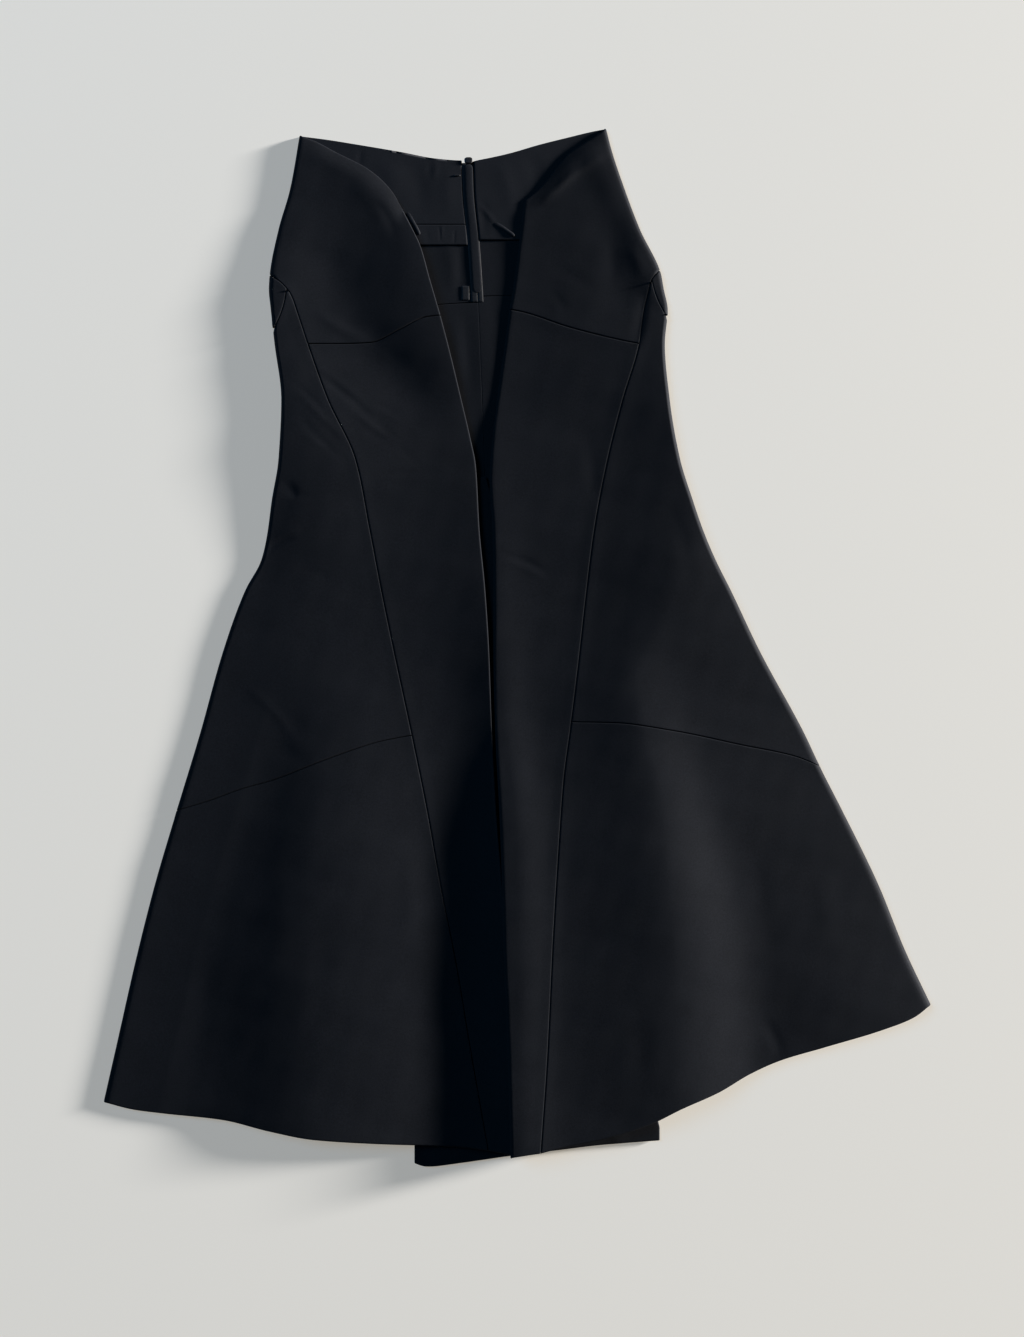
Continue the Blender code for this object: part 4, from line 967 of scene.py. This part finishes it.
def hip_lines(side, princess, start, end):
    """The princess seam down to the sliver's side seam, and that side seam."""
    head = down_line(princess, bottom=start)
    way = np.sign(head[-1, 0] - head[0, 0])
    foot = np.array([smooth(side)(end), end])
    t = np.linspace(0, 1, HIP_SEAM_POINTS)
    seam = head[-1] + (foot - head[-1]) * t[:, None]
    seam[:, 0] += HIP_SEAM_BOW * way * np.sin(math.pi * t)
    return head, seam


def front_half(word, half, lines, mirrored, crepe):
    """The five front pieces of one half."""
    side, princess, front, waist, yoke, knee, hem, hem_centre, hip_start, hip_end = lines
    inner, outer = (0, -1) if mirrored else (-1, 0)
    yoke_level, edge_level = yoke[outer][1], yoke[inner][1]
    knee_level, knee_side = knee[inner][1], knee[outer][1]
    hip_top = princess[0][0]
    head, seam = hip_lines(side, princess, hip_start, hip_end)
    waist_side = down_line(side, bottom=hip_top)
    yoke_side = joined(waist_side, head, down_line(princess, hip_start, yoke_level))
    yoke_line, knee_line = cross_line(yoke), cross_line(knee)

    def panel(piece, outside, inside, ends, edges, corners=(), seam_levels=(-np.inf, np.inf)):
        """outside is nearer the side; edges are for it, for inside, for top and for bottom.

        Only between its seam levels does the outside turn down into a seam.
        """
        kinds = (*ordered(mirrored, *edges[:2]), *edges[2:])
        plan = plan_grid((*ordered(mirrored, outside, inside), *ends), kinds, FINE, corners)
        height = half.height(plan)
        base = raised(drawn_in(plan, height), height)
        out = facing_out(base)
        lower = base - WALL * out
        lower[..., 2] = half.under(plan, lower[..., 2])
        at_side = 1 if mirrored else 0
        level = plan[:, -at_side, 1]
        shares = [1.0, 1.0, 1.0, 1.0]
        shares[at_side] = ((level > seam_levels[0]) & (level < seam_levels[1]))[:, None]
        relief = np.zeros(height.shape)
        for kind, distance, share in zip(kinds, distances(plan), shares):
            relief += kind.relief(distance) * share
        upper = base + relief[..., None] * out
        upper[..., 2] = np.maximum(upper[..., 2], lower[..., 2])
        rests_on = (BENEATH[piece].format(word),)
        cloth(f"{piece}_{word}", base, upper, lower, crepe, "crepe", rests_on)

    def across(outside, inside):
        return np.array(ordered(mirrored, outside, inside))

    panel(
        "front_yoke", yoke_side, down_line(front, bottom=edge_level),
        (cross_line(waist), yoke_line), (SIDE_SEAM, OPEN_FRONT, FREE, SEAM),
        [length_of(waist_side) / length_of(yoke_side)], (-np.inf, hip_top),
    )
    panel(
        "front_centre", down_line(princess, yoke_level), down_line(front, top=edge_level),
        (yoke_line, cross_line(hem_centre)), (SEAM, OPEN_FRONT, SEAM, FREE),
    )
    side_line = joined(seam, down_line(side, hip_end, knee_side))
    shares = np.linspace(SIDE_TIP, 1, LINE_POINTS)
    side_line = at_share(side_line, shares)
    inside = at_share(down_line(princess, hip_start, knee_level), shares)
    panel(
        "front_side", side_line, inside, (across(side_line[0], inside[0]), knee_line),
        (SIDE_SEAM, SEAM, SEAM, SEAM),
        [length_of(seam) / length_of(side_line)], (hip_end, np.inf),
    )
    panel(
        "front_flare", down_line(side, top=knee_side), down_line(princess, knee_level),
        (knee_line, cross_line(hem)), (SIDE, SEAM, SEAM, FREE),
    )
    edge_line = down_line(side, hip_top, hip_end)
    tip = HIP_TIP / length_of(edge_line)
    edge_line = at_share(edge_line, np.linspace(tip, HIP_FOOT, HIP_EDGE_POINTS))
    clear = np.linalg.norm(head - head[0], axis=1) > HIP_TIP_CLEAR * HIP_TIP
    turn_top = joined(edge_line[:1], head[clear])
    seam = at_share(seam, np.linspace(0, HIP_FOOT, HIP_CUT_POINTS))
    panel(
        "hip_turn", edge_line, seam,
        (turn_top[::-1] if mirrored else turn_top, across(edge_line[-1], seam[-1])),
        (SIDE, SEAM, SEAM, SEAM),
    )


BENEATH = {
    "front_yoke": "back_facing_{}_cloth",
    "front_centre": "back_centre_{}_cloth",
    "front_side": "back_side_{}_cloth",
    "front_flare": "back_flare_{}_cloth",
    "hip_turn": "back_side_{}_cloth",
}


def front(crepe):
    left = (
        SIDE_LEFT, PRINCESS_LEFT, FRONT_LEFT, WAIST_LEFT, YOKE_LEFT, KNEE_LEFT,
        HEM_LEFT, HEM_CENTRE_LEFT, HIP_START_LEFT, HIP_END_LEFT,
    )
    right = (
        SIDE_RIGHT, PRINCESS_RIGHT, FRONT_RIGHT, WAIST_RIGHT, YOKE_RIGHT, KNEE_RIGHT,
        HEM_RIGHT, HEM_CENTRE_RIGHT, HIP_START_RIGHT, HIP_END_RIGHT,
    )
    for word, lines, lie in (
        ("left", left, (FOLDS_LEFT, CREASES_LEFT, EDGE_LEVELS_LEFT, FRONT_ROLL_LEFT, -1)),
        ("right", right, (FOLDS_RIGHT, CREASES_RIGHT, EDGE_LEVELS_RIGHT, FRONT_ROLL_RIGHT, 1)),
    ):
        side, _, centre, waist = lines[:4]
        front_half(word, Front(side, centre, waist, *lie), lines, word == "right", crepe)


# ---------------------------------------------------------------- flat layers


def flat_cloth(name, lines, edges, low, thick, creases, dress, rests_on, spacing, corners=()):
    """A layer with a flat underside, and soft creases in its upper face."""
    plan = plan_grid(lines, edges, spacing, corners)
    relief = sum(kind.relief(far) for kind, far in zip(edges, distances(plan)))
    thickness = np.maximum(thick + relief + creased(plan, creases), LEAST_THICKNESS * thick)
    upper = raised(plan, low + thickness)
    cloth(name, upper, upper, raised(plan, low), *dress, rests_on)


def back_half(word, side, princess, yoke, knee, hem, mirrored, crepe):
    """The four back pieces of one half, flat on the surface."""
    inner, outer = (0, -1) if mirrored else (-1, 0)
    hip, yoke_level, yoke_centre = princess[0][0], yoke[outer][1], yoke[inner][1]
    knee_level, knee_side = knee[inner][1], knee[outer][1]
    seam_foot, middle = princess[-1][1], CENTRE_BACK[0][1]
    waist_line, hem_line = cross_line(BACK_WAIST), cross_line(hem)
    middle_top = float(np.interp(middle, *waist_line.T))
    yoke_line, knee_line = cross_line(yoke), cross_line(knee)
    waist_side = down_line(side, bottom=hip)
    yoke_side = joined(waist_side, down_line(princess, hip, yoke_level))

    def piece(name, outside, inside, ends, edges, corners=(), spacing=COARSE):
        kinds = (*ordered(mirrored, *edges[:2]), *edges[2:])
        flat_cloth(
            f"{name}_{word}", (*ordered(mirrored, outside, inside), *ends), kinds,
            0.0, BACK_TOP, CREASES_BACK, (crepe, "crepe"), ("floor",), spacing, corners,
        )

    piece(
        "back_yoke", yoke_side, down_line(CENTRE_BACK, middle_top, yoke_centre),
        (cut(waist_line, *sorted((side[0][1], middle))), yoke_line),
        (BACK_SIDE, BACK_SEAM, FREE, BACK_YOKE_SEAM),
        [length_of(waist_side) / length_of(yoke_side)], FINE,
    )
    piece(
        "back_centre", down_line(princess, yoke_level),
        down_line(CENTRE_BACK, yoke_centre, hem[inner][1]),
        (yoke_line, cut(hem_line, *sorted((seam_foot, hem[inner][0])))),
        (BACK_SEAM, BACK_SEAM, BACK_YOKE_SEAM, BACK_HEM), (), MIDDLE_FINE,
    )
    outside, inside = down_line(side, hip, knee_side), down_line(princess, hip, knee_level)
    shares = np.linspace(BACK_SIDE_TIP, 1, LINE_POINTS)
    outside, inside = at_share(outside, shares), at_share(inside, shares)
    top = np.array(ordered(mirrored, outside[0], inside[0]))
    piece(
        "back_side", outside, inside, (top, knee_line),
        (BACK_SIDE, BACK_SEAM, THIN, BACK_SEAM),
    )
    piece(
        "back_flare", down_line(side, top=knee_side), down_line(princess, knee_level),
        (knee_line, cut(hem_line, *sorted((hem[outer][0], seam_foot)))),
        (BACK_SIDE, BACK_SEAM, BACK_SEAM, BACK_HEM),
    )


def back(crepe):
    left = (SIDE_LEFT, PRINCESS_LEFT, BACK_YOKE_LEFT, KNEE_LEFT, BACK_HEM_LEFT)
    right = (SIDE_RIGHT, PRINCESS_RIGHT, BACK_YOKE_RIGHT, KNEE_RIGHT, BACK_HEM_RIGHT)
    back_half("left", *left, False, crepe)
    back_half("right", *right, True, crepe)


def pleat(crepe):
    left, right = np.array(PLEAT_LEFT, float), np.array(PLEAT_RIGHT, float)
    top = straight(PLEAT_LEFT[0], PLEAT_RIGHT[0])
    flat_cloth(
        "front_pleat", (left, right, top, cross_line(PLEAT_HEM)), (THIN, THIN, THIN, FREE),
        INNER_LOW, WALL, CREASES_PLEAT, (crepe, "crepe"),
        ("back_centre_left_cloth", "back_centre_right_cloth"), MIDDLE_FINE,
        [length_of(left[:2]) / length_of(left)],
    )


# ---------------------------------------------------------------- inside of the waist


def beside_zip(offset, top, bottom):
    """A line that keeps a distance from the centre back line, to its right if positive."""
    return down_line(CENTRE_BACK, top, bottom) + np.array([offset, 0])


def facings(inside):
    """The two halves of the back's facing, and the band below the left one."""
    waist_line, dress = cross_line(BACK_WAIST), (inside, "facing")
    middle = CENTRE_BACK[0][0]
    left_of_zip, right_of_zip = -TAPE_LEFT - SEAM_GAP, TAPE_RIGHT + SEAM_GAP
    for word, low, left, right, edges, creases in (
        (
            "left", FACING_LOW_LEFT, down_line(SIDE_LEFT, bottom=FACING_LOW_LEFT[0][1]),
            beside_zip(left_of_zip, middle, FACING_LOW_LEFT[-1][1]),
            (FACING_SIDE, THIN, FACING_WAIST, THIN), CREASES_FACING_LEFT,
        ),
        (
            "right", FACING_LOW_RIGHT, beside_zip(right_of_zip, middle, FACING_LOW_RIGHT[0][1]),
            down_line(SIDE_RIGHT, bottom=FACING_LOW_RIGHT[-1][1]),
            (THIN, FACING_SIDE, FACING_WAIST, THIN), CREASES_FACING_RIGHT,
        ),
    ):
        bottom = cut(cross_line(low), left[-1, 0], right[-1, 0])
        top = cut(waist_line, left[0, 0], right[0, 0])
        left[0], left[-1], right[0], right[-1] = top[0], bottom[0], top[-1], bottom[-1]
        flat_cloth(
            f"back_facing_{word}", (left, right, top, bottom), edges, INNER_LOW, FACING,
            creases, dress, (f"back_yoke_{word}_cloth",), FACING_FINE,
        )
    top = FACING_LOW_LEFT[-1][1] - SEAM_GAP
    right = beside_zip(left_of_zip, top, BAND_LOW)
    left = straight((BAND_LEFT, top), (BAND_LEFT, BAND_LOW))
    lines = (left, right, straight(left[0], right[0]), straight(left[1], right[-1]))
    flat_cloth(
        "back_band_left", lines, (THIN, THIN, THIN, THIN), INNER_LOW, FACING, CREASES_BAND,
        dress, ("back_yoke_left_cloth",), BAND_FINE,
    )


def woven(name, left, right, spacing, tape):
    """A flat tape or patch inside the back, with all its edges rounded over."""
    lines = (left, right, straight(left[0], right[0]), straight(left[-1], right[-1]))
    plan = plan_grid(lines, (TAPE_EDGE,) * len(lines), spacing)
    relief = np.min([TAPE_EDGE.relief(distance) for distance in distances(plan)], axis=0)
    upper = raised(plan, INNER_LOW + TAPE_RISE + relief)
    trim(shell(f"{name}_woven", upper, raised(plan, INNER_LOW), tape), name)


def strip(name, path, half_width, low, high, material, ends, top=ROUND_TOP):
    """A strip with a flat underside that tapers over its ends.

    high is the height of its top at each point of the path, or at its two ends.
    """
    count = len(path)
    heading = np.gradient(path, axis=0)
    heading /= np.linalg.norm(heading, axis=1)[:, None]
    across = np.stack([heading[:, 1], -heading[:, 0]], axis=1)
    angles = np.pi * np.arange(STRIP_STEPS + 1) / STRIP_STEPS
    far = along(path) * length_of(path)
    high = np.linspace(*high, count) if len(high) == 2 else high
    taper = rounding(np.minimum(far, far[-1] - far) + STRIP_END * ends, ends)
    points = np.zeros((count, len(angles), 3))
    points[..., :2] = path[:, None] + across[:, None] * (
        half_width * taper[:, None, None] * np.cos(angles)[None, :, None]
    )
    points[..., 2] = low + (high - low)[:, None] * taper[:, None] * abs(np.sin(angles)) ** top
    index = np.arange(points[..., 0].size).reshape(points.shape[:2])
    one, two = index[:-1], index[1:]
    quads = np.stack([one, np.roll(one, -1, 1), np.roll(two, -1, 1), two], axis=-1)
    faces = [*quads.reshape(-1, 4).tolist(), index[0].tolist(), index[-1][::-1].tolist()]
    made = mesh_piece(name, points.reshape(-1, 3), faces, material)
    made.data.set_sharp_from_angle(angle=math.radians(SHARP_ANGLE))
    return made


def zip_pieces(tape, inside, metal):
    """The tapes, the covered coil, the slider above it and the patch at its foot."""
    middle = SEAM_GAP / 2
    for word, sides in (("left", (-TAPE_LEFT, -middle)), ("right", (middle, TAPE_RIGHT))):
        left, right = (beside_zip(offset, ZIP_TOP, TAPE_FOOT) for offset in sides)
        woven(f"zip_tape_{word}", left, right, TAPE_FINE, tape)
    path = evenly(beside_zip(0, ZIP_TOP, ZIP_FOOT), COIL_POINTS)
    high = np.interp(path[:, 1], *np.transpose(COIL_TOPS[::-1]))
    made = strip("zip_coil_cover", path, COIL_HALF, COIL_LOW, high, inside, COIL_END, FLAT_TOP)
    trim(made, "zip_coil")
    path = evenly(beside_zip(0, SLIDER_TOP, ZIP_TOP + LAYER_GAP), SLIDER_POINTS)
    high = ON_FACING + np.array(SLIDER_HEIGHTS)
    made = strip(
        "zip_slider_body", path, SLIDER_HALF, ON_FACING, high, metal, SLIDER_END, FLAT_TOP,
    )
    trim(made, "zip_slider")
    left, bottom, right, top = STAY
    left, right = (straight((x, top), (x, bottom)) for x in (left, right))
    woven("zip_stay", left, right, STAY_FINE, tape)


def waist_trim(inside, metal):
    """The hook bar, and the ends of the front's facing."""
    left, right, level = HOOK
    path = evenly(straight((left, level), (right, level)), HOOK_POINTS)
    high = ON_FACING + np.array(HOOK_HEIGHTS)
    made = strip("waist_hook_bar", path, HOOK_HALF, ON_FACING, high, metal, HOOK_END)
    trim(made, "waist_hook")
    high = ON_FACING + np.array(CURL_HEIGHTS)
    for word, rows in (("left", CURL_LEFT), ("right", CURL_RIGHT)):
        path, name = evenly(np.array(rows, float), CURL_POINTS), f"front_facing_{word}"
        made = strip(f"{name}_curl", path, CURL_HALF, ON_FACING, high, inside, CURL_END)
        trim(made, name)


# ---------------------------------------------------------------- stage


def link(name, data):
    made = bpy.data.objects.new(name, data)
    bpy.context.scene.collection.objects.link(made)
    return made


def stage():
    """The floor, the lamps, the sky and the camera."""
    half = FLOOR_SIZE / 2
    data = bpy.data.meshes.new("floor")
    corners = [(-half, -half, 0), (half, -half, 0), (half, half, 0), (-half, half, 0)]
    data.from_pydata(corners, [], [(0, 1, 2, 3)])
    data.materials.append(floor_material())
    link("floor", data)

    for name, towards, distance, size, power, colour in LAMPS:
        lamp = bpy.data.lights.new(name, "AREA")
        lamp.shape = "DISK"
        lamp.size = size
        lamp.energy = power
        lamp.color = colour
        placed = link(name, lamp)
        placed.location = np.array(towards) / np.linalg.norm(towards) * distance
        placed.rotation_euler = placed.location.to_track_quat("Z", "Y").to_euler()

    world = bpy.data.worlds.new("sky")
    world.use_nodes = True
    sky = world.node_tree.nodes["Background"]
    sky.inputs["Color"].default_value = (*SKY_COLOUR, 1)
    sky.inputs["Strength"].default_value = SKY_STRENGTH

    lens = bpy.data.cameras.new("camera")
    lens.sensor_width = CAMERA_SENSOR
    lens.lens = CAMERA_LENS
    camera = link("camera", lens)
    camera.location = CAMERA_PLACE
    scene = bpy.context.scene
    scene.world = world
    scene.camera = camera
    scene.view_settings.view_transform = "Standard"
    scene.view_settings.gamma = VIEW_GAMMA


def main():
    crepe, inside, tape = (fabric(*row) for row in FABRICS)
    metal = lacquer("metal", METAL)
    stage()
    front(crepe)
    back(crepe)
    pleat(crepe)
    facings(inside)
    zip_pieces(tape, inside, metal)
    waist_trim(inside, metal)


main()
